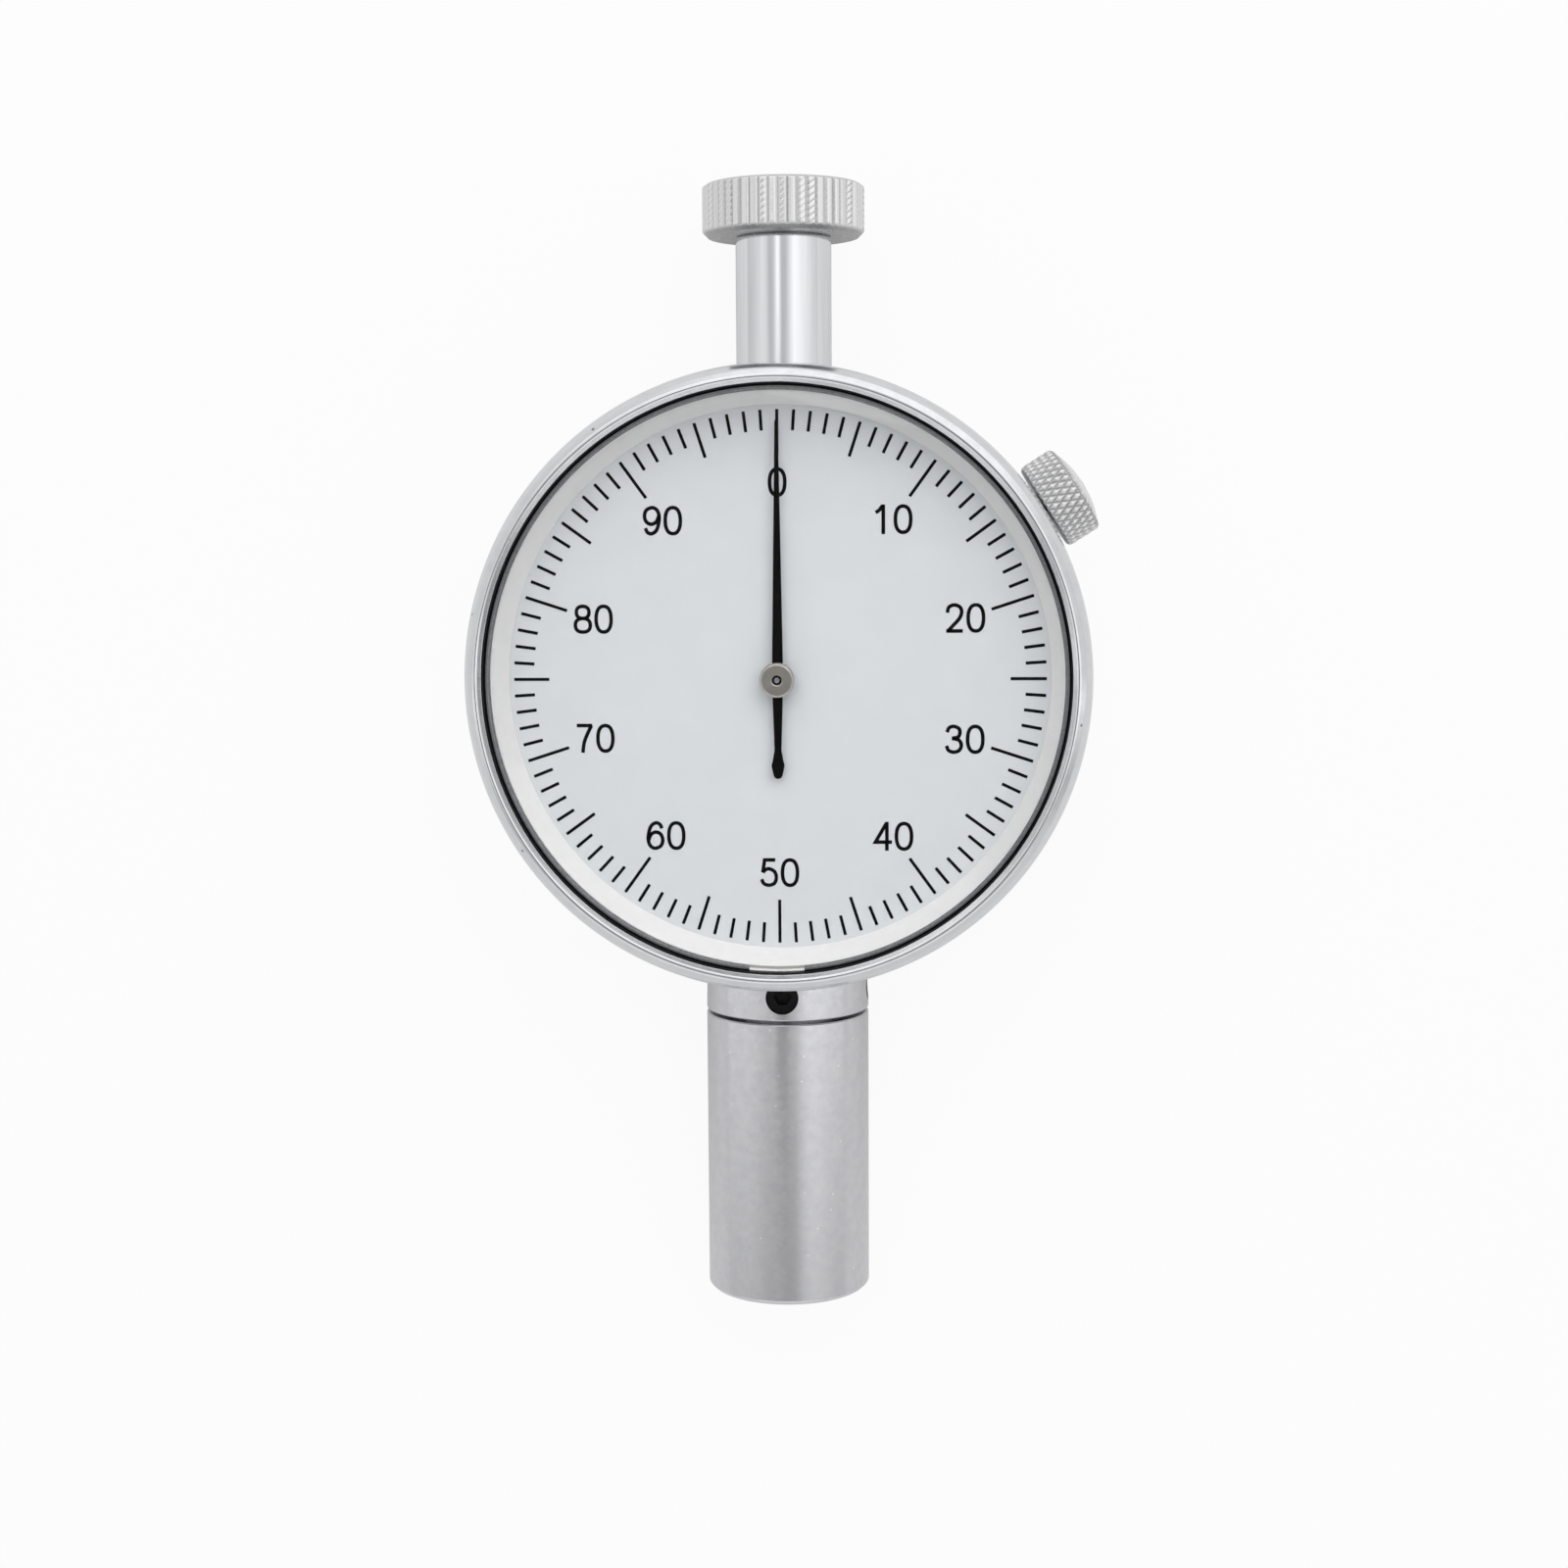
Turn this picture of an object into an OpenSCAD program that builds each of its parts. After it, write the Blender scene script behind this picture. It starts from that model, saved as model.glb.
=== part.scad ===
// Dial durometer for hard rubber and plastics, lying on its back cover.
// Millimetres. +Z is out of the dial, +Y runs from the pressing foot to the knurled cap.
// The origin is the middle of the back cover's outer face, under the pointer's axis.

/* [Bezel and crystal] */
// Outside diameter of the bezel
bezel_d = 60.8; // [56:0.2:74]
// Width of the bezel's wall outside the crystal
bezel_wall = 2.0; // [1.6:0.1:2.6]
// How far the bezel stands out past the case
bezel_overhang = 2.1; // [1.6:0.1:3]
// Thickness of the bezel's spigot in the case
spigot_wall = 1.1; // [0.9:0.1:1.4]
// Thickness of the bezel's inner flange under the dial
bezel_flange_t = 0.7; // [0.5:0.1:1.2]
// Thickness of the dial plate
dial_t = 0.5; // [0.4:0.1:1]
// Height of the spacer ring between dial and crystal
spacer_h = 2.8; // [2.6:0.1:4]
// Radial width of the spacer ring on the dial
spacer_foot_w = 1.8; // [1.2:0.1:2.4]
// Radial width of the spacer ring under the crystal
spacer_top_w = 0.45; // [0.3:0.05:1]
// Thickness of the crystal
crystal_t = 1.6; // [1.2:0.1:2.4]
// Wire diameter of the crystal's snap ring
snap_wire_d = 0.8; // [0.5:0.05:0.9]
// Opening between the ends of the snap ring, in degrees
snap_gap_deg = 11; // [4:1:30]
// Thickness of the bezel's lip over the snap ring
bezel_lip_t = 0.9; // [0.7:0.1:1.6]

/* [Case] */
// Thickness of the case's wall
case_wall = 4.3; // [3.8:0.1:5]
// Thickness of the web that carries the movement
web_t = 0.9; // [0.8:0.1:1.4]
// Thickness of the back cover
cover_t = 1.4; // [1.2:0.1:2]
// Distance from the resting face to the lowest turned part
rest_gap = 0.75; // [0.6:0.05:2]
// Number of back cover screws
cover_screws = 4; // [3:1:6]
// Shank diameter of the back cover screws
cover_screw_d = 1.6; // [1.4:0.1:1.8]

/* [Foot and collar] */
// Diameter of the pressing foot and its collar
foot_d = 16.7; // [14:0.1:20.4]
// Length of the pressing foot below the seam
foot_len = 29.0; // [23:0.1:36]
// Length of the collar from its seat on the case to the seam
collar_len = 7.6; // [6.2:0.1:10]
// Width of the seam groove between collar and foot
seam_w = 0.3; // [0.2:0.05:0.6]
// Diameter of the foot's spigot in the collar
foot_spigot_d = 10.8; // [10:0.1:11.6]
// Diameter of the spring chamber in the foot
chamber_d = 8.4; // [8.2:0.1:8.8]
// Thickness of the foot's pressing face
foot_floor_t = 2.2; // [1.6:0.1:3]
// Diameter of the hole in the pressing face
foot_hole_d = 3.0; // [2.6:0.1:3.4]
// Diameter of the collar's threaded spigot in the case
collar_spigot_d = 7.4; // [6.6:0.1:7.6]
// Diameter of the collar's set screw holes
set_screw_d = 3.3; // [2.6:0.1:3.6]
// Number of set screws round the collar
set_screws = 4; // [2:1:4]

/* [Stem and cap] */
// Diameter of the polished upper stem
stem_d = 9.6; // [8:0.1:12]
// Length of the stem from its seat on the case to the cap
stem_len = 16.0; // [12:0.1:24]
// Diameter of the stem's threaded spigots
stem_spigot_d = 6.4; // [5:0.1:7.4]
// Diameter of the knurled cap
cap_d = 16.3; // [14:0.1:20]
// Height of the knurled cap
cap_h = 5.3; // [4.4:0.1:7]

/* [Indenter] */
// Travel of the indenter, from free to flush with the foot
travel = 2.5; // [2:0.1:3]
// Diameter of the sliding spindle
spindle_d = 4.0; // [3.6:0.1:4.2]
// Diameter of the hardened indenter needle
needle_d = 1.25; // [1.1:0.05:1.4]
// Included angle of the needle's cone, in degrees
needle_cone_deg = 30; // [25:1:40]
// Flat width left at the needle's tip
needle_tip_d = 0.2; // [0.1:0.05:0.4]
// Diameter of the spindle's guide pin
guide_pin_d = 1.2; // [1:0.1:1.4]
// Wire diameter of the main spring
spring_wire_d = 1.2; // [1:0.05:1.25]
// Turns of the main spring
spring_turns = 5.5; // [4:0.5:6]

/* [Movement] */
// Module of the idler wheel, take-up wheel and centre pinion
wheel_module = 0.25; // [0.24:0.01:0.27]
// Thickness of the idler and take-up wheels
wheel_t = 0.7; // [0.5:0.1:1]
// Diameter of the arbors
arbor_d = 1.6; // [1.4:0.1:1.8]
// Diameter of the pivots at the arbors' ends
pivot_d = 0.8; // [0.6:0.1:1]
// Thickness of the bridge plate
bridge_t = 1.0; // [0.8:0.1:1.4]
// Gap between the bridge plate and the back cover
bridge_gap = 2.6; // [2:0.1:3]
// Radius of the circle that the bridge pillars stand on
pillar_ring_r = 17; // [16:0.5:19]
// Diameter of the bridge pillars
pillar_d = 3.0; // [2.6:0.1:3.4]
// Turns of the hairspring
hairspring_turns = 4; // [3:1:6]

/* [Pointer] */
// Diameter of the pointer's turned hub
hub_d = 3.4; // [2.6:0.05:3.8]
// Length of the pointer from its axis to its tip
pointer_len = 25.0; // [20:0.5:27]
// Length of the pointer's tail from its axis to its end
tail_len = 9.7; // [7:0.1:12]
// Width of the pointer beside its hub
pointer_w = 1.1; // [0.8:0.05:1.6]
// Width of the pointer at its tip
pointer_tip_w = 0.3; // [0.2:0.05:0.5]
// Thickness of the pointer
pointer_t = 0.3; // [0.2:0.05:0.4]

/* [Clamp screw] */
// Angle of the clamp screw above the dial's 3 o'clock, in degrees
clamp_deg = 32.5; // [25:0.5:40]
// Diameter of the clamp screw's knurled head
clamp_head_d = 9.0; // [7:0.1:10]
// Length of the knurled head
clamp_head_len = 4.5; // [3.5:0.1:6]
// Diameter of the clamp screw's thread
clamp_thread_d = 3.0; // [2.4:0.1:3.2]
// Lift of the clamp screw in one turn
clamp_pitch = 0.5; // [0.35:0.05:0.6]

/* [Hidden] */
$fn = 96;
eps = 0.01;
// Named clearances: a running fit, a fixed seat, a thread's flank and an air gap
run_gap = 0.04;
seat_gap = 0.03;
thread_gap = 0.03;
face_gap = 0.05;
air_gap = 0.3;
edge = 0.4;

// Radii of the bezel and the case
bezel_r = bezel_d / 2;
case_r = bezel_r - bezel_overhang;
pocket_r = bezel_r - bezel_wall;
disc_r = pocket_r - 0.1;
spigot_r = case_r - 1.9;
spigot_in_r = spigot_r - spigot_wall;
cavity_r = case_r - case_wall;

// Heights above the resting face
foot_r = foot_d / 2;
cap_r = cap_d / 2;
spindle_r = spindle_d / 2;
axis_z = max(foot_r, cap_r) + rest_gap;
wheel_z = axis_z + spindle_r + air_gap;
web_z = wheel_z + wheel_t + 0.4;
web_top = web_z + web_t;
flange_z = axis_z + foot_r + 0.35;
case_top = flange_z - 0.1;
spigot_z = web_top + 0.2;
dial_z = flange_z + bezel_flange_t;
dial_top = dial_z + dial_t;
crystal_z = dial_top + spacer_h;
wire_z = crystal_z + crystal_t;
lip_z = wire_z + snap_wire_d + face_gap;
crest_z = lip_z + bezel_lip_t;
bridge_z = cover_t + bridge_gap;
bridge_top = bridge_z + bridge_t;
clamp_z = (web_top + case_top) / 2;

// Stations along the foot and stem, on the axis that they share
stem_seat_y = case_r - 0.7;
cap_y = stem_seat_y + stem_len;
cap_top_y = cap_y + cap_h;
collar_seat_y = -max(sqrt(case_r * case_r - foot_r * foot_r) - 0.1, spigot_r + air_gap);
seam_y = collar_seat_y - collar_len;
foot_top_y = seam_y - seam_w;
foot_bottom_y = foot_top_y - foot_len;
cover_r = -collar_seat_y - 0.2;
cover_screw_ring_r = cavity_r + cover_screw_d / 2 + 0.4;
cover_head_r = cover_screw_d * 0.9;
foot_floor_y = foot_bottom_y + foot_floor_t;
foot_spigot_top_y = seam_y + 4.4;
set_screw_y = seam_y + 2.4;
spigot_inner_y = -cavity_r - 0.3;
bush_top_y = foot_floor_y + 6.5;
spring_flange_y = bush_top_y + travel;
spring_flange_top_y = spring_flange_y + 1.6;
adjuster_y = seam_y - 3.6;
adjuster_h = 3.4;
needle_tip_y = foot_bottom_y - travel;

// The rack on the spindle and the train that it drives: the rack teeth of one travel turn the rack
// pinion part of a turn, and the wheels have the teeth that turn the centre pinion once meanwhile
rack_teeth = 2;
pinion_teeth = 12;
centre_teeth = 12;
wheel_teeth = centre_teeth * pinion_teeth / rack_teeth;
rack_pitch = travel / rack_teeth;
rack_module = rack_pitch / PI;
rack_line_x = -(spindle_r - 0.7);
pinion_r = pinion_teeth * rack_module / 2;
wheel_r = wheel_teeth * wheel_module / 2;
centre_r = centre_teeth * wheel_module / 2;
train_r = wheel_r + centre_r;
idler_x = rack_line_x - pinion_r;
idler_y = -sqrt(train_r * train_r - idler_x * idler_x);
idler_deg = atan2(idler_y, idler_x);
takeup_deg = idler_deg - 210;
takeup_x = train_r * cos(takeup_deg);
takeup_y = train_r * sin(takeup_deg);
tooth_gap = 0.075;
rack_top_y = idler_y + 3.6;
rack_bottom_y = idler_y - travel - 3.2;
pinion_w = 2.8;
guide_pin_y = rack_bottom_y - 1.2;
pillar_degs = [160, 80, 310];

// The hairspring, flat in its own plane beside the take-up arbor
collet_r = 1.7;
collet_h = 1.2;
hairspring_z = axis_z - 1;
hairspring_t = 0.16;
hairspring_h = 0.6;
hairspring_in_r = collet_r + 0.2;
hairspring_out_r = 5.2;
stud_r = 0.8;

// Heights of the pointer's pieces over the dial
hand_z = dial_top + 0.9;
hub_z = hand_z + pointer_t;
hub_top = hub_z + 1.1;
hub_spigot_r = 1.0;
arbor_r = arbor_d / 2;
pivot_r = pivot_d / 2;
arbor_tip_r = 0.45;
arbor_z = bridge_top + 0.2;

// Stations of the clamp screw along its own axis, from the pointer's axis outwards
groove_depth = 0.5;
groove_r = spigot_r - groove_depth;
groove_w = 2.2;
shoe_tip_r = groove_r + face_gap;
shoe_r = shoe_tip_r + 1.4;
shank_tip_r = shoe_r + face_gap;
clamp_head_r = bezel_r + air_gap;
clamp_end_r = clamp_head_r + clamp_head_len;
clamp_boss_d = clamp_thread_d + 0.9;
clamp_boss_r = case_r + 1.1;

// Turned about the pointer's axis: points are [radius, z]
module turned_z(points) {
    rotate_extrude()
        polygon(points);
}

// Turned about the axis of foot and stem: points are [radius, y]
module turned_y(points) {
    translate([0, 0, axis_z])
        rotate([-90, 0, 0])
            rotate_extrude()
                polygon(points);
}

// A rod along the axis of foot and stem
module rod_y(r, y0, y1) {
    translate([0, y0, axis_z])
        rotate([-90, 0, 0])
            cylinder(h = y1 - y0, r = r);
}

// Children drawn along +Z, laid along the clamp screw's axis and pointing outwards
module on_clamp_axis() {
    rotate([0, 0, clamp_deg])
        translate([0, 0, clamp_z])
            rotate([0, 90, 0])
                children();
}

// Children drawn along +Z, pointing out of the collar at every set screw
module on_set_screws() {
    for (i = [0 : set_screws - 1])
        translate([0, set_screw_y, axis_z])
            rotate([0, i * 360 / set_screws, 0])
                children();
}

// Children copied to every back cover screw
module on_cover_screws() {
    for (i = [0 : cover_screws - 1])
        rotate([0, 0, 45 + i * 360 / cover_screws])
            translate([cover_screw_ring_r, 0, 0])
                children();
}

// Children copied to every bridge pillar
module on_pillars() {
    for (a = pillar_degs)
        rotate([0, 0, a])
            translate([pillar_ring_r, 0, 0])
                children();
}

// Half the width of a tooth at a height h over its pitch line, with flanks of 20 degrees
function tooth_half(mod, h) = (PI * mod / 2 - tooth_gap) / 2 - h * tan(20) * (h > 0 ? 1.15 : 0.6);

// Outline of a wheel or pinion with one tooth centred on the angle phase
function gear_points(teeth, mod, phase) = [
    for (i = [0 : teeth - 1])
        for (p = [[-1, -1.2], [-1, 0], [-1, 0.9], [1, 0.9], [1, 0], [1, -1.2]])
            let (r = teeth * mod / 2 + p[1] * mod)
            let (a = phase + i * 360 / teeth + p[0] * tooth_half(mod, p[1] * mod) / r * 180 / PI)
            [r * cos(a), r * sin(a)]
];

module gear(teeth, mod, phase, h) {
    linear_extrude(h)
        polygon(gear_points(teeth, mod, phase));
}

// Outline that cuts the rack's teeth out of the spindle's side
function rack_cut_points() = let (
    first = floor((rack_bottom_y - idler_y) / rack_pitch),
    last = ceil((rack_top_y - idler_y) / rack_pitch)
) concat(
    [for (i = [first : last])
        for (p = [[-1, -1.2], [-1, 0.9], [1, 0.9], [1, -1.2]])
            [rack_line_x - p[1] * rack_module,
             idler_y + i * rack_pitch + p[0] * tooth_half(rack_module, p[1] * rack_module)]],
    [[-spindle_d, idler_y + last * rack_pitch + 1], [-spindle_d, idler_y + first * rack_pitch - 1]]
);

module case_body() {
    color("silver")
        difference() {
            union() {
                turned_z([
                    [0, cover_t], [case_r - edge, cover_t], [case_r, cover_t + edge], [case_r, case_top],
                    [spigot_r + face_gap, case_top], [spigot_r + face_gap, web_top], [0, web_top]
                ]);
                on_clamp_axis()
                    translate([0, 0, spigot_r + 0.5])
                        cylinder(h = clamp_boss_r - spigot_r - 0.5, d = clamp_boss_d);
            }
            translate([0, 0, cover_t - eps])
                cylinder(h = web_z - cover_t + eps, r = cavity_r);
            rod_y(stem_d / 2 + face_gap, stem_seat_y, case_r + 2);
            rod_y(stem_spigot_d / 2 + thread_gap, cavity_r - 1, case_r);
            rod_y(foot_r + face_gap, -case_r - 2, collar_seat_y);
            rod_y(collar_spigot_d / 2 + thread_gap, -case_r, 1 - cavity_r);
            on_clamp_axis()
                translate([0, 0, spigot_in_r])
                    cylinder(h = clamp_boss_r, d = clamp_thread_d + 2 * thread_gap);
            translate([0, 0, web_z - eps])
                cylinder(h = web_t + 2 * eps, r = 2 + seat_gap);
            for (p = [[idler_x, idler_y], [takeup_x, takeup_y]])
                translate([p[0], p[1], web_z - eps])
                    cylinder(h = web_t + 2 * eps, r = pivot_r + run_gap);
            on_pillars()
                translate([0, 0, web_z - eps])
                    cylinder(h = web_t + 2 * eps, d = pillar_d / 2 + 2 * thread_gap);
            on_cover_screws()
                translate([0, 0, cover_t - eps])
                    cylinder(h = 5, d = cover_screw_d + 2 * thread_gap);
        }
}

module back_cover() {
    color("gainsboro")
        difference() {
            turned_z([
                [0, 0], [cover_r - edge, 0], [cover_r, edge], [cover_r, cover_t],
                [cavity_r - face_gap, cover_t], [cavity_r - face_gap, cover_t + 0.6],
                [cavity_r - 1, cover_t + 0.6], [cavity_r - 1, cover_t], [0, cover_t]
            ]);
            on_cover_screws() {
                translate([0, 0, -eps])
                    cylinder(h = cover_t + 1, d = cover_screw_d + 2 * face_gap);
                translate([0, 0, -eps])
                    cylinder(h = cover_head_r + face_gap, r1 = cover_head_r + face_gap, r2 = 0);
            }
        }
}

module back_cover_screws() {
    color("dimgray")
        on_cover_screws()
            difference() {
                rotate_extrude()
                    polygon([
                        [0, 0.1], [cover_head_r - 0.1, 0.1],
                        [cover_screw_d / 2, cover_head_r - cover_screw_d / 2],
                        [cover_screw_d / 2, cover_t + 4.4], [0, cover_t + 4.4]
                    ]);
                translate([-cover_screw_d, -0.2, 0])
                    cube([2 * cover_screw_d, 0.4, 0.55]);
            }
}

module lower_collar() {
    color("lightgray")
        difference() {
            turned_y([
                [spindle_r + run_gap, spigot_inner_y], [spindle_r + run_gap, foot_spigot_top_y + face_gap],
                [foot_spigot_d / 2 + seat_gap, foot_spigot_top_y + face_gap],
                [foot_spigot_d / 2 + seat_gap, seam_y], [foot_r - 0.15, seam_y], [foot_r, seam_y + 0.15],
                [foot_r, collar_seat_y], [collar_spigot_d / 2, collar_seat_y],
                [collar_spigot_d / 2, spigot_inner_y]
            ]);
            on_set_screws()
                translate([0, 0, foot_spigot_d / 2 - 0.2])
                    cylinder(h = foot_r, d = set_screw_d);
        }
}

module presser_foot() {
    color("silver")
        turned_y([
            [foot_hole_d / 2, foot_bottom_y], [foot_r - edge, foot_bottom_y], [foot_r, foot_bottom_y + edge],
            [foot_r, foot_top_y - 0.15], [foot_r - 0.15, foot_top_y], [foot_spigot_d / 2, foot_top_y],
            [foot_spigot_d / 2, foot_spigot_top_y], [chamber_d / 2, foot_spigot_top_y],
            [chamber_d / 2, bush_top_y + face_gap], [spindle_r + 1 + seat_gap, bush_top_y + face_gap],
            [spindle_r + 1 + seat_gap, foot_floor_y], [foot_hole_d / 2, foot_floor_y]
        ]);
}

module foot_set_screws() {
    color("black")
        on_set_screws()
            difference() {
                translate([0, 0, foot_spigot_d / 2 + face_gap])
                    cylinder(h = foot_r - foot_spigot_d / 2 - 0.75, d = set_screw_d - 2 * thread_gap);
                translate([0, 0, foot_r - 1.6])
                    cylinder(h = 2, d = set_screw_d * 0.55, $fn = 6);
            }
}

module foot_guide_bush() {
    color("goldenrod")
        turned_y([
            [spindle_r + run_gap, foot_floor_y + face_gap], [spindle_r + 1, foot_floor_y + face_gap],
            [spindle_r + 1, bush_top_y], [spindle_r + run_gap, bush_top_y]
        ]);
}

module spring_adjuster() {
    color("dimgray")
        difference() {
            turned_y([
                [spindle_r + air_gap, adjuster_y], [chamber_d / 2 - thread_gap, adjuster_y],
                [chamber_d / 2 - thread_gap, adjuster_y + adjuster_h],
                [spindle_r + air_gap, adjuster_y + adjuster_h]
            ]);
            translate([-chamber_d, adjuster_y + adjuster_h - 1, axis_z - 0.5])
                cube([2 * chamber_d, 2, 1]);
        }
}

// One ring of the main spring's wire, at a share t of the way from its flange to the adjuster
function spring_ring(t, y0, y1, sides) = let (
    wire_r = spring_wire_d / 2,
    coil_r = chamber_d / 2 - 0.35 - wire_r,
    a = t * spring_turns * 360,
    y = y0 + wire_r + t * (y1 - y0 - spring_wire_d)
) [for (k = [0 : sides - 1])
    let (b = k * 360 / sides, r = coil_r + wire_r * cos(b))
    [r * cos(a), y + wire_r * sin(b), axis_z + r * sin(a)]];

module main_spring() {
    sides = 8;
    rings = round(spring_turns * 16);
    y0 = spring_flange_top_y + face_gap;
    y1 = adjuster_y - face_gap;
    points = [for (i = [0 : rings]) each spring_ring(i / rings, y0, y1, sides)];
    walls = [for (i = [0 : rings - 1]) for (k = [0 : sides - 1])
        let (a = i * sides, b = a + sides, n = (k + 1) % sides)
        [a + k, a + n, b + n, b + k]];
    ends = [[for (k = [0 : sides - 1]) sides - 1 - k], [for (k = [0 : sides - 1]) rings * sides + k]];
    color("slategray")
        polyhedron(points, concat(walls, ends), convexity = 8);
}

module upper_stem() {
    color("whitesmoke")
        turned_y([
            [0, cavity_r + 0.3], [stem_spigot_d / 2, cavity_r + 0.3], [stem_spigot_d / 2, stem_seat_y],
            [stem_d / 2, stem_seat_y], [stem_d / 2, cap_y - 0.2], [stem_d / 2 - 0.2, cap_y],
            [stem_spigot_d / 2, cap_y], [stem_spigot_d / 2, cap_y + cap_h - 1.4], [0, cap_y + cap_h - 1.4]
        ]);
}

module top_cap() {
    color("lightgray")
        turned_y([
            [stem_spigot_d / 2 + thread_gap, cap_y], [cap_r - 0.6, cap_y], [cap_r, cap_y + 0.6],
            [cap_r, cap_top_y - 0.5], [cap_r - 0.5, cap_top_y - 0.15], [cap_r - 2, cap_top_y],
            [0, cap_top_y], [0, cap_top_y - 1.3], [stem_spigot_d / 2 + thread_gap, cap_top_y - 1.3]
        ]);
}

module movement_bridge() {
    color("goldenrod")
        translate([0, 0, bridge_z])
            difference() {
                cylinder(h = bridge_t, r = pillar_ring_r + 2);
                for (p = [[0, 0], [idler_x, idler_y], [takeup_x, takeup_y]])
                    translate([p[0], p[1], -eps])
                        cylinder(h = bridge_t + 1, r = pivot_r + run_gap);
                translate([-guide_pin_d / 2 - face_gap, guide_pin_y - 1, -eps])
                    cube([guide_pin_d + 2 * face_gap, travel + 2, bridge_t + 1]);
                on_pillars()
                    translate([0, 0, -eps])
                        cylinder(h = bridge_t + 1, d = pillar_d / 2 + 2 * thread_gap);
            }
}

module bridge_pillars() {
    color("goldenrod")
        on_pillars()
            difference() {
                union() {
                    translate([0, 0, bridge_top])
                        cylinder(h = web_z - bridge_top, d = pillar_d);
                    translate([0, 0, web_z - eps])
                        cylinder(h = web_t - 0.1, d = pillar_d / 2);
                }
                translate([0, 0, bridge_top - eps])
                    cylinder(h = 3, d = pillar_d / 2 + 2 * thread_gap);
            }
}

module bridge_screws() {
    color("slategray")
        on_pillars()
            difference() {
                union() {
                    translate([0, 0, bridge_z - 1])
                        cylinder(h = 1, d = pillar_d);
                    translate([0, 0, bridge_z - eps])
                        cylinder(h = bridge_t + 2.5, d = pillar_d / 2);
                }
                translate([-pillar_d, -0.25, bridge_z - 1 - eps])
                    cube([2 * pillar_d, 0.5, 0.5]);
            }
}

module centre_bush() {
    color("goldenrod")
        translate([0, 0, web_z])
            difference() {
                cylinder(h = web_t, r = 2);
                translate([0, 0, -eps])
                    cylinder(h = web_t + 1, r = arbor_r + run_gap);
            }
}

// One side of the hairspring's ribbon, from the collet outwards
function hairspring_side(offset_r) = let (steps = hairspring_turns * 24) [
    for (i = [0 : steps])
        let (r = hairspring_in_r + offset_r + (hairspring_out_r - hairspring_in_r) * i / steps)
        let (a = i * 15)
        [r * cos(a), r * sin(a)]
];

module hairspring() {
    inner = hairspring_side(0);
    outer = hairspring_side(hairspring_t);
    last = len(inner) - 1;
    color("steelblue")
        translate([takeup_x, takeup_y, hairspring_z])
            linear_extrude(hairspring_h)
                polygon(concat(outer, [for (i = [0 : last]) inner[last - i]]));
}

module hairspring_stud() {
    color("goldenrod")
        translate([takeup_x + hairspring_out_r + hairspring_t + face_gap + stud_r, takeup_y, bridge_top])
            cylinder(h = hairspring_z + hairspring_h - bridge_top, r = stud_r);
}

module bezel() {
    half_groove = groove_w / 2;
    color("gainsboro")
        turned_z([
            [spigot_in_r, spigot_z], [spigot_r, spigot_z], [spigot_r, clamp_z - half_groove],
            [groove_r, clamp_z - half_groove + 0.2], [groove_r, clamp_z + half_groove - 0.2],
            [spigot_r, clamp_z + half_groove], [spigot_r, flange_z], [bezel_r - 0.5, flange_z],
            [bezel_r, flange_z + 0.5], [bezel_r, crest_z - 2.6], [bezel_r - 0.2, crest_z - 1.5],
            [bezel_r - 0.65, crest_z - 0.6], [bezel_r - 1.3, crest_z], [bezel_r - 1.6, crest_z],
            [pocket_r, crest_z - 0.5], [pocket_r, lip_z], [pocket_r + 0.25, lip_z],
            [pocket_r + 0.25, wire_z], [pocket_r, wire_z], [pocket_r, dial_z], [spigot_in_r, dial_z]
        ]);
}

module dial_plate() {
    color("lightsteelblue")
        translate([0, 0, dial_z])
            difference() {
                cylinder(h = dial_t, r = disc_r);
                translate([0, 0, -eps])
                    cylinder(h = dial_t + 1, r = arbor_r + 0.5);
            }
}

module dial_spacer_ring() {
    color("whitesmoke")
        turned_z([
            [disc_r - spacer_foot_w, dial_top], [disc_r, dial_top], [disc_r, crystal_z],
            [disc_r - spacer_top_w, crystal_z]
        ]);
}

module crystal() {
    bevel = 0.2;
    color("azure", 0.35)
        turned_z([
            [0, crystal_z], [disc_r, crystal_z], [disc_r, wire_z - bevel], [disc_r - bevel, wire_z],
            [0, wire_z]
        ]);
}

module crystal_snap_wire() {
    wire_r = snap_wire_d / 2;
    color("dimgray")
        rotate([0, 0, -90 + snap_gap_deg / 2])
            rotate_extrude(angle = 360 - snap_gap_deg)
                translate([pocket_r + 0.1 - wire_r, wire_z + wire_r + face_gap / 2])
                    circle(r = wire_r, $fn = 24);
}

module spindle() {
    color("silver")
        difference() {
            turned_y([
                [0, foot_floor_y + face_gap], [spindle_r, foot_floor_y + face_gap],
                [spindle_r, spring_flange_y], [chamber_d / 2 - air_gap, spring_flange_y],
                [chamber_d / 2 - air_gap, spring_flange_top_y],
                [spindle_r, spring_flange_top_y], [spindle_r, rack_top_y], [0, rack_top_y]
            ]);
            translate([0, 0, axis_z - spindle_d])
                linear_extrude(2 * spindle_d)
                    polygon(rack_cut_points());
            rod_y(needle_d / 2 + seat_gap, foot_floor_y - 1, foot_floor_y + 6);
            translate([0, guide_pin_y, axis_z - spindle_d])
                cylinder(h = spindle_d + 1, d = guide_pin_d + 2 * seat_gap);
        }
}

module indenter_needle() {
    cone_h = (needle_d - needle_tip_d) / 2 / tan(needle_cone_deg / 2);
    color("slategray")
        turned_y([
            [0, needle_tip_y], [needle_tip_d / 2, needle_tip_y], [needle_d / 2, needle_tip_y + cone_h],
            [needle_d / 2, foot_floor_y + 6 - face_gap], [0, foot_floor_y + 6 - face_gap]
        ]);
}

module spindle_guide_pin() {
    color("slategray")
        translate([0, guide_pin_y, bridge_z - 0.5])
            cylinder(h = axis_z + 1 - bridge_z - 0.1, d = guide_pin_d);
}

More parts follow.
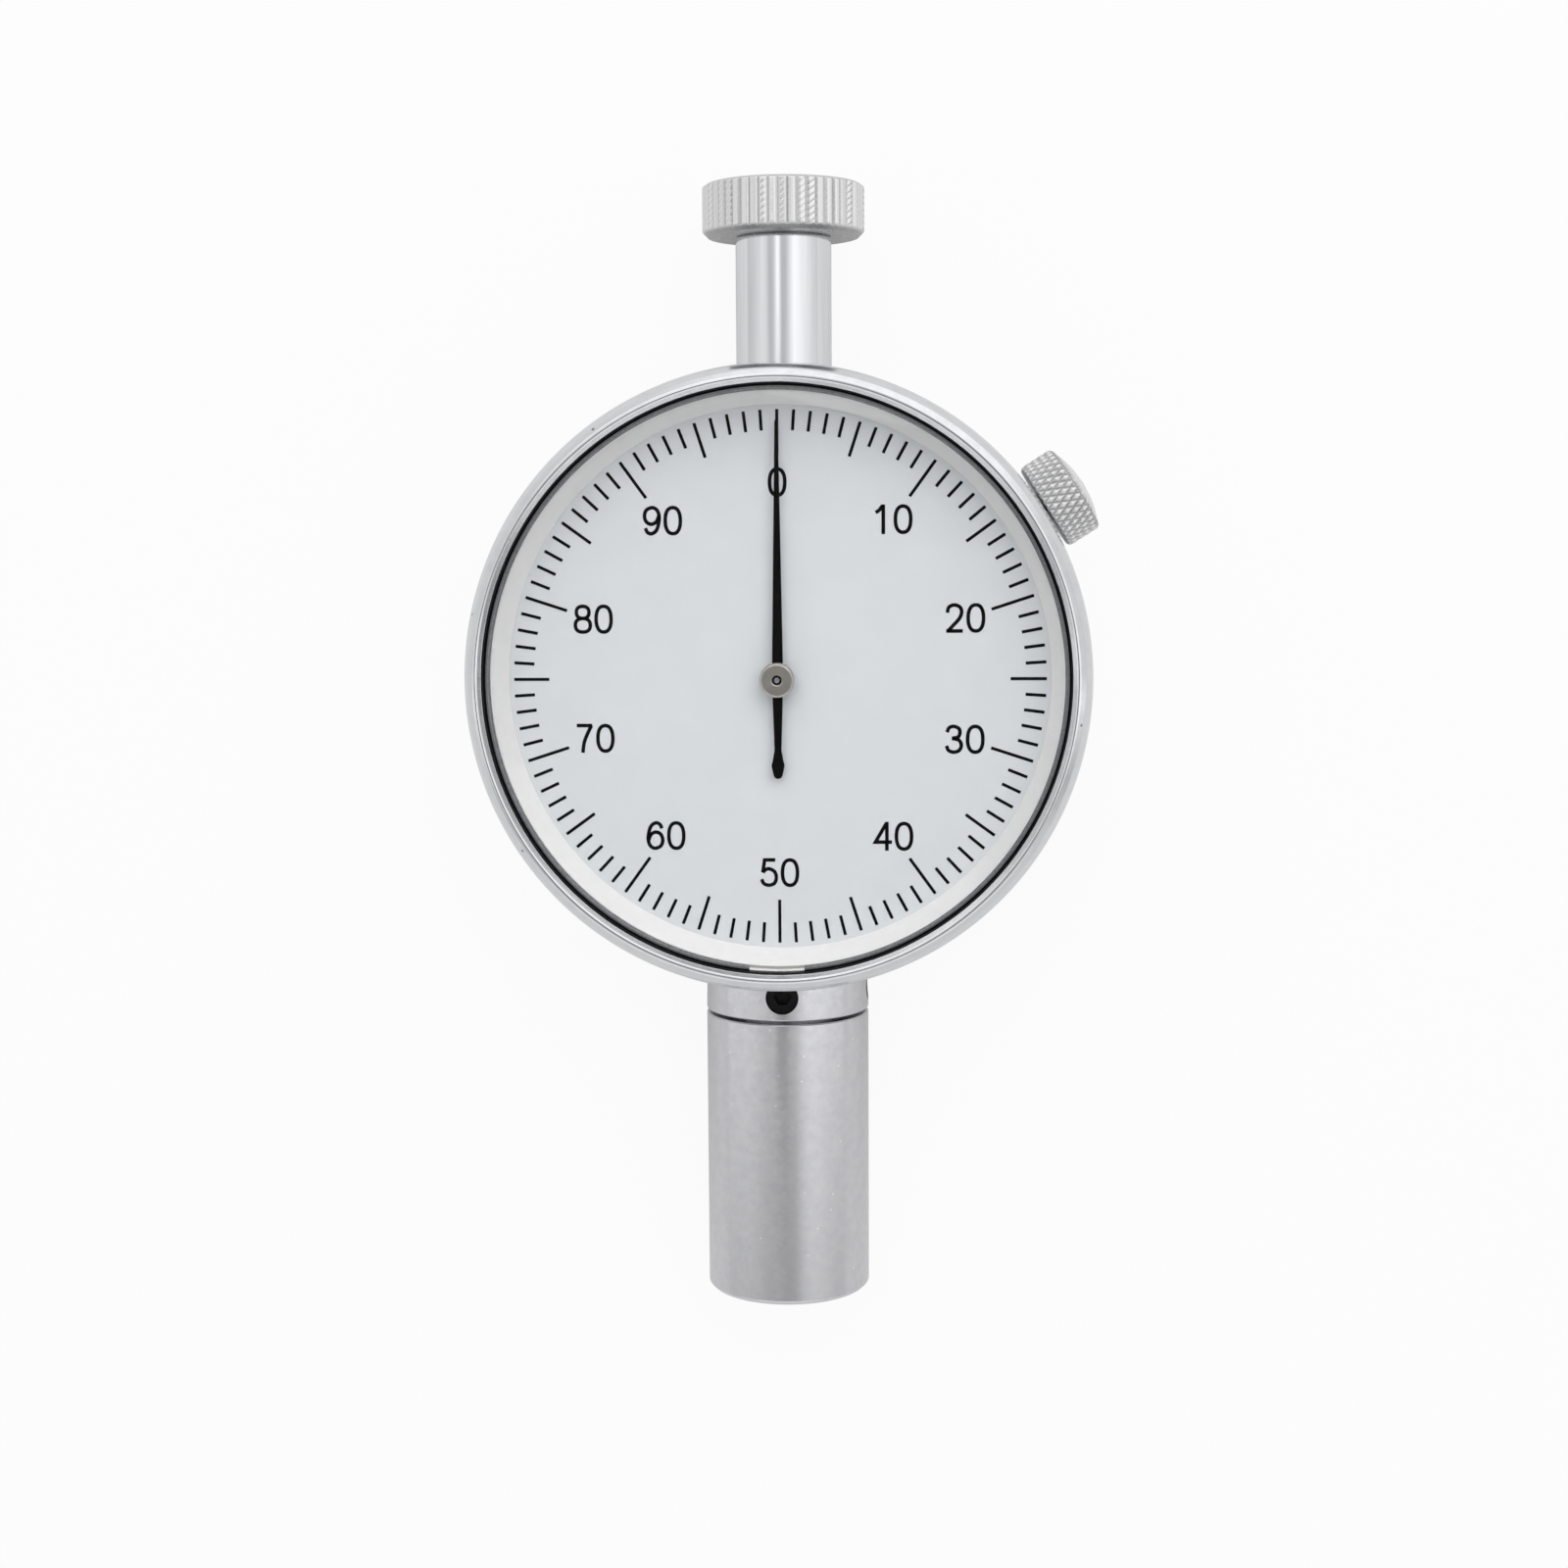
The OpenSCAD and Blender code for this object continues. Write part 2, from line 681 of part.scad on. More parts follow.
// An arbor with a pivot at each end, from the bridge to the web
module pivoted_arbor() {
    translate([0, 0, bridge_z + 0.1])
        cylinder(h = web_top - bridge_z - 0.2, r = pivot_r);
    translate([0, 0, arbor_z])
        cylinder(h = web_z - 0.2 - arbor_z, r = arbor_r);
}

module idler_arbor() {
    color("silver")
        translate([idler_x, idler_y, 0]) {
            pivoted_arbor();
            translate([0, 0, axis_z - pinion_w / 2])
                gear(pinion_teeth, rack_module, 180 / pinion_teeth, pinion_w);
        }
}

module idler_wheel() {
    color("gold")
        translate([idler_x, idler_y, wheel_z])
            difference() {
                gear(wheel_teeth, wheel_module, idler_deg + 180, wheel_t);
                translate([0, 0, -eps])
                    cylinder(h = wheel_t + 1, r = arbor_r + seat_gap);
            }
}

module takeup_arbor() {
    color("silver")
        translate([takeup_x, takeup_y, 0])
            pivoted_arbor();
}

module takeup_wheel() {
    color("gold")
        translate([takeup_x, takeup_y, wheel_z])
            difference() {
                gear(wheel_teeth, wheel_module, takeup_deg + 180, wheel_t);
                translate([0, 0, -eps])
                    cylinder(h = wheel_t + 1, r = arbor_r + seat_gap);
            }
}

module hairspring_collet() {
    color("goldenrod")
        translate([takeup_x, takeup_y, hairspring_z + hairspring_h / 2 - collet_h / 2])
            difference() {
                cylinder(h = collet_h, r = collet_r);
                translate([0, 0, -eps])
                    cylinder(h = collet_h + 1, r = arbor_r + seat_gap);
            }
}

module centre_arbor() {
    color("silver") {
        translate([0, 0, bridge_z + 0.1])
            cylinder(h = arbor_z - bridge_z, r = pivot_r);
        translate([0, 0, arbor_z])
            cylinder(h = hand_z - 0.35 - arbor_z, r = arbor_r);
        translate([0, 0, hand_z - 0.35 - eps])
            cylinder(h = hub_top - 0.3 - hand_z + 0.35 + eps, r = arbor_tip_r);
        translate([0, 0, wheel_z - 0.1])
            gear(centre_teeth, wheel_module, idler_deg + 180 / centre_teeth, wheel_t + 0.2);
    }
}

module pointer_hub() {
    color("lightgray")
        turned_z([
            [arbor_tip_r + seat_gap, hand_z - 0.3], [hub_spigot_r, hand_z - 0.3], [hub_spigot_r, hub_z],
            [hub_d / 2, hub_z], [hub_d / 2, hub_top - 0.1], [hub_d / 2 - 0.1, hub_top],
            [arbor_tip_r + seat_gap, hub_top]
        ]);
}

module pointer_hand() {
    bulb_r = 0.63;
    end_r = 0.45;
    waist_r = 0.33;
    end_y = -tail_len + end_r;
    bulb_y = -tail_len + 1.3;
    waist_y = bulb_y + 1.5;
    lean = asin((bulb_r - end_r) / (bulb_y - end_y));
    neck_deg = 30;
    color("black")
        translate([0, 0, hand_z])
            difference() {
                union() {
                    linear_extrude(pointer_t)
                        polygon([
                            [-pointer_w / 2, 0], [-waist_r, waist_y],
                            [-bulb_r * cos(neck_deg), bulb_y + bulb_r * sin(neck_deg)],
                            [-bulb_r * cos(lean), bulb_y - bulb_r * sin(lean)],
                            [-end_r * cos(lean), end_y - end_r * sin(lean)],
                            [end_r * cos(lean), end_y - end_r * sin(lean)],
                            [bulb_r * cos(lean), bulb_y - bulb_r * sin(lean)],
                            [bulb_r * cos(neck_deg), bulb_y + bulb_r * sin(neck_deg)],
                            [waist_r, waist_y], [pointer_w / 2, 0], [pointer_tip_w / 2, pointer_len],
                            [-pointer_tip_w / 2, pointer_len]
                        ]);
                    translate([0, bulb_y, 0])
                        cylinder(h = pointer_t, r = bulb_r);
                    translate([0, end_y, 0])
                        cylinder(h = pointer_t, r = end_r);
                    cylinder(h = pointer_t, r = hub_spigot_r + 0.45);
                }
                translate([0, 0, -eps])
                    cylinder(h = pointer_t + 1, r = hub_spigot_r + seat_gap);
            }
}

module clamp_shoe() {
    shoe_d = clamp_thread_d - 0.4;
    color("goldenrod")
        on_clamp_axis()
            rotate_extrude()
                polygon([
                    [0, shoe_tip_r], [groove_w / 2 - 0.5, shoe_tip_r], [groove_w / 2 - 0.3, spigot_r + 0.1],
                    [shoe_d / 2, spigot_r + 0.4], [shoe_d / 2, shoe_r], [0, shoe_r]
                ]);
}

module clamp_screw() {
    head_r = clamp_head_d / 2;
    color("darkgray")
        on_clamp_axis()
            rotate_extrude()
                polygon([
                    [0, shank_tip_r], [clamp_thread_d / 2, shank_tip_r], [clamp_thread_d / 2, clamp_head_r],
                    [head_r - 0.3, clamp_head_r], [head_r, clamp_head_r + 0.3], [head_r, clamp_end_r - 1.2],
                    [head_r - 0.3, clamp_end_r - 0.9], [head_r / 2, clamp_end_r - 0.25], [0, clamp_end_r]
                ]);
}

case_body();
back_cover();
back_cover_screws();
lower_collar();
presser_foot();
foot_set_screws();
foot_guide_bush();
spring_adjuster();
main_spring();
upper_stem();
top_cap();
movement_bridge();
bridge_pillars();
bridge_screws();
centre_bush();
hairspring();
hairspring_stud();
bezel();
dial_plate();
dial_spacer_ring();
crystal();
crystal_snap_wire();
spindle();
indenter_needle();
spindle_guide_pin();
idler_arbor();
idler_wheel();
takeup_arbor();
takeup_wheel();
hairspring_collet();
centre_arbor();
pointer_hub();
pointer_hand();
clamp_shoe();
clamp_screw();
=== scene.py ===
import math

import bmesh
import bpy
import numpy as np
from mathutils import Matrix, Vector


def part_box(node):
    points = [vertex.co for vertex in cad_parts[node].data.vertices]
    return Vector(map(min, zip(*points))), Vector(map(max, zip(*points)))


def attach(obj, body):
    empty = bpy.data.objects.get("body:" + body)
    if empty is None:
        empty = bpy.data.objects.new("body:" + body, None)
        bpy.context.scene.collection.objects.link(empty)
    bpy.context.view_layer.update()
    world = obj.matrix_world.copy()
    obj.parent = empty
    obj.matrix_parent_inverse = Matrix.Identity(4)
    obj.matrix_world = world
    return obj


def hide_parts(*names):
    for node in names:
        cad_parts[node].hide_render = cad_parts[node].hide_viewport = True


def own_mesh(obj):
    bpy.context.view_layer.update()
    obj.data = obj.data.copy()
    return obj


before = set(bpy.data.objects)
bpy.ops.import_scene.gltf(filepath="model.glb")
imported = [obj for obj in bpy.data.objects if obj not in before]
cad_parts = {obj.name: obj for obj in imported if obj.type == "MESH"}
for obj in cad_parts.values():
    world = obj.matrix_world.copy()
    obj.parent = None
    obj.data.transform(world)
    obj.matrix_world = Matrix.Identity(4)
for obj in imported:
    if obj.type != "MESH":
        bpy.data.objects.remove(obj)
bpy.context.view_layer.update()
mm = 0.001               # lengths below are millimetres, and meshes are in metres
perMm = 1000.0           # a texture scale of perMm / size makes patches of about that size in mm
fullTurn = 2 * math.pi
weldMm = 0.001           # points nearer than this are one
cutPast = 1.0            # how far a cutter runs past a face that it opens


# sRGB hex to linear light: c / 12.92 under 0.04045, and ((c + 0.055) / 1.055) to the power 2.4 above it
def hexColor(code):
    srgb = np.array([int(code[i:i + 2], 16) for i in (1, 3, 5)]) / 255
    linear = np.where(srgb <= 0.04045, srgb / 12.92, ((srgb + 0.055) / 1.055) ** 2.4)
    return (*linear.tolist(), 1.0)


# One shader node with its settings; an input that is a socket is linked, any other is set
def addNode(tree, kind, inputs=None, stops=(), **settings):
    node = tree.nodes.new("ShaderNode" + kind)
    for key, value in settings.items():
        setattr(node, key, value)
    for key, value in (inputs or {}).items():
        if isinstance(value, bpy.types.NodeSocket):
            tree.links.new(value, node.inputs[key])
        else:
            node.inputs[key].default_value = value
    for i, (place, colour) in enumerate(stops):
        element = node.color_ramp.elements[i] if i < 2 else node.color_ramp.elements.new(place)
        element.position = place
        element.color = colour
    return node


# One sum on sockets or plain numbers, as its output
def mathNode(tree, operation, *values):
    return addNode(tree, "Math", dict(enumerate(values)), operation=operation).outputs[0]


# A value carried from one range to another, held at the ends, evenly or as a smooth step
def rangeNode(tree, value, fromEnds, toEnds=(0.0, 1.0), smooth=False):
    inputs = {"Value": value, "From Min": fromEnds[0], "From Max": fromEnds[1],
              "To Min": toEnds[0], "To Max": toEnds[1]}
    kind = "SMOOTHSTEP" if smooth else "LINEAR"
    return addNode(tree, "MapRange", inputs, interpolation_type=kind).outputs["Result"]


# First * (1 - share) + second * share, of two colours or of two plain values
def mixNode(tree, share, first, second, kind="RGBA"):
    slot, out = {"RGBA": (6, 2), "FLOAT": (2, 0)}[kind]
    return addNode(tree, "Mix", {0: share, slot: first, slot + 1: second}, data_type=kind).outputs[out]


# Lowest and highest corner of a CAD node, in millimetres
def boxMm(node):
    low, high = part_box(node)
    return np.array(low) / mm, np.array(high) / mm


# Quads between neighbouring points of a rows by columns grid, wrapping round a side that is closed
def gridFaces(rows, columns, closeRows=False, closeColumns=False):
    row, column = np.meshgrid(
        np.arange(rows if closeRows else rows - 1),
        np.arange(columns if closeColumns else columns - 1), indexing="ij")
    nextRow = (row + 1) % rows * columns
    nextColumn = (column + 1) % columns
    row = row * columns
    quads = [row + column, row + nextColumn, nextRow + nextColumn, nextRow + column]
    return np.stack(quads, -1).reshape(-1, 4)


# Each corner (across, along) becomes an arc tangent to its sides, whose ends lie round * tan(half the turn)
# from it, with a point just past each to keep the sides flat; an open profile rounds only its inner corners
def roundedProfile(places, rounds, closed=True, arcSteps=6, reachShare=0.44, leadMm=0.1, leadShare=0.05):
    corner = np.array(places, float)
    ring = np.concatenate([corner[-1:], corner, corner[:1]]) if closed else corner
    place = ring[1:-1]
    sideIn = place - ring[:-2]
    sideOut = ring[2:] - place
    lengthIn = np.linalg.norm(sideIn, axis=1)
    lengthOut = np.linalg.norm(sideOut, axis=1)
    shorter = np.minimum(lengthIn, lengthOut)
    sideIn = sideIn / lengthIn[:, None]
    sideOut = sideOut / lengthOut[:, None]
    turn = np.arctan2(sideIn[:, 0] * sideOut[:, 1] - sideIn[:, 1] * sideOut[:, 0], (sideIn * sideOut).sum(1))
    halfTan = np.tan(np.abs(turn) / 2) + 1e-9  # never quite 0, for a corner that doesn't turn
    reach = np.minimum(np.array(rounds) * halfTan, reachShare * shorter)
    start = place - sideIn * reach[:, None]
    spoke = np.sign(turn)[:, None] * np.stack([sideIn[:, 1], -sideIn[:, 0]], 1) * (reach / halfTan)[:, None]
    swing = turn[:, None] * np.linspace(0, 1, arcSteps + 1)
    arc = (start - spoke)[:, None] + np.stack([
        spoke[:, :1] * np.cos(swing) - spoke[:, 1:] * np.sin(swing),
        spoke[:, :1] * np.sin(swing) + spoke[:, 1:] * np.cos(swing)], -1)
    lead = np.minimum(leadMm, leadShare * shorter)[:, None]
    outline = np.concatenate([
        (start - sideIn * lead)[:, None], arc, (place + sideOut * (reach[:, None] + lead))[:, None]], 1)
    outline = outline.reshape(-1, 2)
    return outline if closed else np.concatenate([corner[:1], outline, corner[-1:]])


# A profile swept round an axis: origin + radius * (cos * across + sin * up) + height * along; limit gives the
# largest radius at an angle and a height, as a knurling tool leaves it
def turned(profile, axis, steps, closed=True, limit=None):
    origin, across, up, along = axis
    angle = np.linspace(0, fullTurn, steps, endpoint=False)[None]
    height = profile[:, 1:2]
    radius = np.repeat(profile[:, :1], steps, 1)
    if limit is not None:
        radius = np.minimum(radius, limit(angle, height))
    points = (origin + (radius * np.cos(angle))[..., None] * across
              + (radius * np.sin(angle))[..., None] * up + height[..., None] * along)
    return points.reshape(-1, 3), gridFaces(len(profile), steps, closed, True)


# A plain pin from one height to another, or a cone where the two radii differ
def pin(axis, low, high, radius, topRadius=None, steps=64):
    topRadius = radius if topRadius is None else topRadius
    profile = np.array([(0, low), (radius, low), (topRadius, high), (0, high)])
    return turned(profile, axis, steps, closed=False)


# A round wire carried along a path: path + thick * (cos * side + sin * lift), with closed ends
def wire(path, side, lift, thick, sides=14):
    turn = np.linspace(0, fullTurn, sides, endpoint=False)
    ring = np.cos(turn)[:, None] * side[:, None] + np.sin(turn)[:, None] * lift[:, None]
    tube = path[:, None] + thick * ring
    ends = np.repeat(path[[0, -1], None], sides, 1)
    points = np.concatenate([ends[:1], tube, ends[1:]])
    return points.reshape(-1, 3), gridFaces(len(points), sides, False, True)


# Several surfaces as one: each one's faces count on from the points before them
def together(surfaces):
    first = np.cumsum([0] + [len(points) for points, faces in surfaces])
    points = np.concatenate([points for points, faces in surfaces])
    return points, np.concatenate([faces + count for count, (_, faces) in zip(first, surfaces)])


# Merges doubles, drops a carving's empty faces or turns a new shell's outwards, and shades by sharpDeg
def cleanMesh(mesh, sharpDeg, carved=False):
    shell = bmesh.new()
    shell.from_mesh(mesh)
    bmesh.ops.remove_doubles(shell, verts=shell.verts, dist=weldMm * mm)
    if carved:
        bmesh.ops.dissolve_degenerate(shell, edges=shell.edges, dist=weldMm * mm)
    else:
        bmesh.ops.recalc_face_normals(shell, faces=shell.faces)
    shell.to_mesh(mesh)
    shell.free()
    mesh.shade_smooth()
    mesh.set_sharp_from_angle(angle=math.radians(sharpDeg))


# A surface in millimetres as an object; marks are values that its points carry
def meshPiece(name, surface, sharpDeg=38, marks=None):
    points, faces = surface
    mesh = bpy.data.meshes.new(name)
    mesh.from_pydata((points * mm).tolist(), [], faces.tolist())
    for key, values in (marks or {}).items():
        carried = mesh.attributes.new(key, "FLOAT", "POINT")
        carried.data.foreach_set("value", values.astype(np.float32).ravel())
    cleanMesh(mesh, sharpDeg)
    piece = bpy.data.objects.new(name, mesh)
    bpy.context.scene.collection.objects.link(piece)
    return piece


# A piece turned about an axis from a profile's corners, with the rounds and steps of its settings
def lathed(name, places, s, axis, closed=True):
    return meshPiece(name, turned(roundedProfile(places, s["rounds"], closed), axis, s["steps"], closed))


# Takes a closed surface out of a piece, or adds it, and keeps the result as the piece's own mesh
def carve(piece, surface, operation="DIFFERENCE", sharpDeg=38):
    cutter = meshPiece("cutter", surface)
    carving = piece.modifiers.new("carving", "BOOLEAN")
    carving.operation = operation
    carving.solver = "EXACT"
    carving.object = cutter
    whole = piece.evaluated_get(bpy.context.evaluated_depsgraph_get())
    mesh = bpy.data.meshes.new_from_object(whole)
    piece.modifiers.clear()
    piece.data = mesh
    bpy.data.objects.remove(cutter)
    cleanMesh(mesh, sharpDeg, carved=True)


# Gives a piece its finish and its body, and hides the CAD nodes that it stands for; the record's slot is not
# used
def fitPiece(piece, finish, body, slot, *nodes):
    piece.data.materials.clear()
    piece.data.materials.append(finish)
    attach(piece, body)
    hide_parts(*nodes)
    print("made", piece.name, len(piece.data.vertices), "points")


# Finishes: how a grain becomes tone, roughness and specks, and what the crystal is like
grainShape = dict(detail=3.0, fine=0.6, tone=(0.32, 0.68), rough=(0.3, 0.7), speckCore=0.6, speckMost=0.75)
glassShape = dict(hex="#fdfdfd", shadowHex="#fcfcfc", ior=1.5, smearMm=9.0, smearDetail=2.0, smearRough=0.012)


# A new material, its node tree and its main shader
def newMaterial(name):
    material = bpy.data.materials.new(name)
    material.use_nodes = True
    return material, material.node_tree, material.node_tree.nodes["Principled BSDF"]


# Colour and roughness wander together between two ends, in patches of about grainMm; stretch draws the
# patches out along an axis, as a tool's marks, and lathe reads (radius, 0, height) so that they run round.
# pits is (spacing in mm, share of it, hex): the specks of a worn plate, each at a random point of its cell.
def variedFinish(name, paleHex, darkHex, grainMm, roughness, bumpMm=0.0, stretch=(1, 1, 1), lathe=False,
                 metallic=1.0, specular=0.5, pits=None):
    g = grainShape
    material, tree, shader = newMaterial(name)
    shader.inputs["Metallic"].default_value = metallic
    shader.inputs["Specular IOR Level"].default_value = specular
    around = addNode(tree, "TexCoord").outputs["Object"]
    place = around
    if lathe:
        split = addNode(tree, "SeparateXYZ", {0: place})
        flat = addNode(tree, "CombineXYZ", {0: split.outputs[0], 1: split.outputs[1]})
        radius = addNode(tree, "VectorMath", {0: flat.outputs[0]}, operation="LENGTH")
        place = addNode(tree, "CombineXYZ", {0: radius.outputs["Value"], 2: split.outputs[2]}).outputs[0]
    scale = tuple(perMm / grainMm / s for s in stretch)
    scaled = addNode(tree, "Mapping", {"Vector": place, "Scale": scale})
    grain = addNode(tree, "TexNoise", {"Vector": scaled.outputs[0], "Scale": 1.0, "Detail": g["detail"],
                                       "Roughness": g["fine"]}).outputs["Fac"]
    ends = [hexColor(darkHex), hexColor(paleHex)]
    colour = addNode(tree, "ValToRGB", {"Fac": grain}, stops=list(zip(g["tone"], ends))).outputs["Color"]
    if pits:
        spacing, share, pitHex = pits
        cells = addNode(tree, "TexVoronoi", {"Vector": around, "Scale": perMm / spacing})
        ends = (g["speckCore"] * share, share)
        speck = rangeNode(tree, cells.outputs["Distance"], ends, (g["speckMost"], 0.0))
        colour = mixNode(tree, speck, colour, hexColor(pitHex))
    tree.links.new(colour, shader.inputs["Base Color"])
    tree.links.new(rangeNode(tree, grain, g["rough"], roughness[::-1]), shader.inputs["Roughness"])
    if bumpMm:
        bump = addNode(tree, "Bump", {"Height": grain, "Distance": bumpMm * mm, "Strength": 1.0})
        tree.links.new(bump.outputs["Normal"], shader.inputs["Normal"])
    return material


# Chrome plate on a rod buffed lengthwise: a near mirror whose faint ripples make the streaks of light waver
polishedChrome = variedFinish("polishedChromePlate", "#e8e9eb", "#dfe0e3", 0.5, (0.05, 0.10), 0.003,
                              (1, 30, 1))

# Satin chrome over fine bead blasting: soft shading with a salt-and-pepper grain, drawn coarse enough to show
satinChrome = variedFinish("beadBlastedChrome", "#d5d5d8", "#cdcdd1", 1.0, (0.17, 0.23), 0.0006,
                           pits=(1.5, 0.08, "#f4f4f4"))

# Chrome plate over a turned ring: bright and a little uneven, with a few dark pits where the plate has gone
bezelChrome = variedFinish("turnedChromePlate", "#e3e4e6", "#dcdde0", 1.2, (0.10, 0.14), 0.0006,
                           pits=(3.2, 0.07, "#5c5d60"))

# Die-cast alloy with a satin plate: greyer and duller than the bezel, with a soft cloudy grain
caseAlloy = variedFinish("satinPlatedAlloy", "#c0c1c4", "#b8b9bc", 0.6, (0.28, 0.40), 0.002)

# Sheet steel cover, faced on a lathe: close rings that catch the light as a soft cross
facedCover = variedFinish("facedSteelSheet", "#c9cacc", "#aeafb2", 0.16, (0.24, 0.36), 0.002, (1, 1, 8), True)

# Clear anodised aluminium cone: pale and milky rather than mirror-like, almost white where it faces the light
satinAluminium = variedFinish("satinAnodisedAluminium", "#faf9f8", "#f5f4f3", 0.8, (0.44, 0.54),
                              metallic=0.05)

# Matt stove enamel on the dial: pale blue-grey, even, with the slightest cloudiness
dialEnamel = variedFinish("mattStoveEnamel", "#d9dde0", "#d6dadd", 3.0, (0.42, 0.50), metallic=0.0)

# Printed dial ink: dense, nearly black, with a dry matt surface
dialInk = variedFinish("dialPrintingInk", "#0a0b0c", "#060607", 0.3, (0.50, 0.62), metallic=0.0,
                       specular=0.06)

# Black lacquer on the stamped pointer: a low sheen with a trace of orange peel
pointerLacquer = variedFinish("blackPointerLacquer", "#070708", "#040405", 0.5, (0.34, 0.46), 0.001,
                              metallic=0.0, specular=0.06)

# Turned nickel silver hub: warm grey with rings round its face
turnedNickel = variedFinish("turnedNickelSilver", "#cac6c0", "#c0bcb6", 0.5, (0.22, 0.28), 0.0003, lathe=True)

# Black oxide on hardened steel screws: charcoal with a dull oily sheen
blackOxide = variedFinish("blackOxideSteel", "#1b1b1d", "#0c0c0d", 0.3, (0.38, 0.52), 0.002, metallic=0.7)

# Painted shade: a soft black ring in the groove behind the snap ring stands in for the shadow there, with
# hardly any sheen
grooveShadowBlack = variedFinish("paintedGrooveShadow", "#121212", "#0a0a0a", 0.4, (0.55, 0.70), 0.002,
                           metallic=0.0, specular=0.25)

# Drawn spring wire: dark steel grey with a light drawing grain
springSteel = variedFinish("drawnSpringWire", "#8a8b8e", "#6a6b6f", 0.25, (0.26, 0.40), 0.001)

# Ground steel shafts and screws: clean grey with fine grinding marks across the length
groundSteel = variedFinish("groundSteel", "#c3c4c6", "#a5a6a9", 0.18, (0.20, 0.34), 0.001, (6, 1, 6))

# Machined brass of the movement: yellow, with a brown cast where it has dulled
movementBrass = variedFinish("machinedBrass", "#d3b05e", "#b18a3c", 1.2, (0.24, 0.38), 0.001)


# Knurled nickel plate: bright worn crests, with painted shade that darkens the grooves by their depth and the
# underside; the depth comes with the mesh
def knurledFinish(name, crestHex, shadeHex):
    material = variedFinish(name, crestHex, crestHex, 0.35, (0.22, 0.40), 0.006)
    tree = material.node_tree
    base = tree.nodes["Principled BSDF"].inputs["Base Color"]
    worn = base.links[0].from_socket
    depth = addNode(tree, "Attribute", attribute_name="paintedShade")
    tree.links.new(mixNode(tree, depth.outputs["Fac"], worn, hexColor(shadeHex)), base)
    return material


# The grey is painted shade: the mesh's mark lays it into the grooves and onto the underside
knurledNickel = knurledFinish("knurledNickelPlate", "#f0f0f0", "#8a8a8b")


# Flat mineral glass: clear, with a faint reflection; lamps shine through it onto the dial
def crystalGlass(s):
    material, tree, shader = newMaterial("mineralGlass")
    shader.inputs["Base Color"].default_value = hexColor(s["hex"])
    shader.inputs["Transmission Weight"].default_value = 1.0
    shader.inputs["IOR"].default_value = s["ior"]
    place = addNode(tree, "TexCoord").outputs["Object"]
    smear = addNode(tree, "TexNoise", {
        "Vector": place, "Scale": perMm / s["smearMm"], "Detail": s["smearDetail"]})
    rough = rangeNode(tree, smear.outputs["Fac"], (0.0, 1.0), (0.0, s["smearRough"]))
    tree.links.new(rough, shader.inputs["Roughness"])
    clear = addNode(tree, "BsdfTransparent", {"Color": hexColor(s["shadowHex"])})
    path = addNode(tree, "LightPath")
    glass = addNode(tree, "MixShader", {
        0: path.outputs["Is Shadow Ray"], 1: shader.outputs["BSDF"], 2: clear.outputs["BSDF"]})
    tree.links.new(glass.outputs["Shader"], tree.nodes["Material Output"].inputs["Surface"])
    return material


mineralGlass = crystalGlass(glassShape)
print("finishes made:", len(bpy.data.materials))

# Axes that the pieces are turned about: origin, across, up and along
footLow, footHigh = boxMm("presser_foot")
axisZ = (footLow[2] + footHigh[2]) / 2
footR = footHigh[0]
bezelLow, bezelHigh = boxMm("bezel")
bezelR = bezelHigh[0]
caseLow, caseHigh = boxMm("case_body")
caseR = -caseLow[0]
dialLow, dialHigh = boxMm("dial_plate")
dialR = dialHigh[0]
dialAxis = np.array([(0, 0, 0), (1, 0, 0), (0, 1, 0), (0, 0, 1)], float)
stemAxis = np.array([(0, 0, axisZ), (1, 0, 0), (0, 0, 1), (0, 1, 0)], float)

# Bezel: a turned ring with a rounded shoulder (its corners in from the rim and down from the top), a lip over
# the snap ring and a grooved spigot in the case
bezelShape = dict(
    spigotIn=25.3, spigotOut=26.4, groove=25.9, grooveZ=15.55, grooveHalf=1.1, grooveSlope=0.2,
    flangeZ=17.8, flangeEdge=0.5, pocketR=28.4, lipR=28.4, lipDrop=0.5, wireSeatR=28.65, wireLowZ=23.4,
    wireHighZ=24.25, rimDeep=0.25, rimLow=18.7, rimHigh=22.2, steps=320,
    shoulder=[(0, 2.6), (0.2, 1.5), (0.65, 0.6), (1.3, 0), (1.6, 0)],
    rounds=[0.15, 0.15, 0.1, 0.1, 0.1, 0.1, 0.1, 0.3, 0.15, 0.05, 0.02, 0.02, 0.05, 0.4, 1.2, 0.9, 0.6, 0.3,
            0.2, 0.06, 0.06, 0.06, 0.06, 0.06, 0.15])
rimShape = dict(
    teeth=224, toothDeep=0.13, toothSamples=8, sink=0.05, gap=0.03, chamfer=0.15, chamferTall=0.2,
    arcSteps=2, sharpDeg=60, rounds=[0.02, 0.02, 0.05, 0.05, 0.02, 0.02])


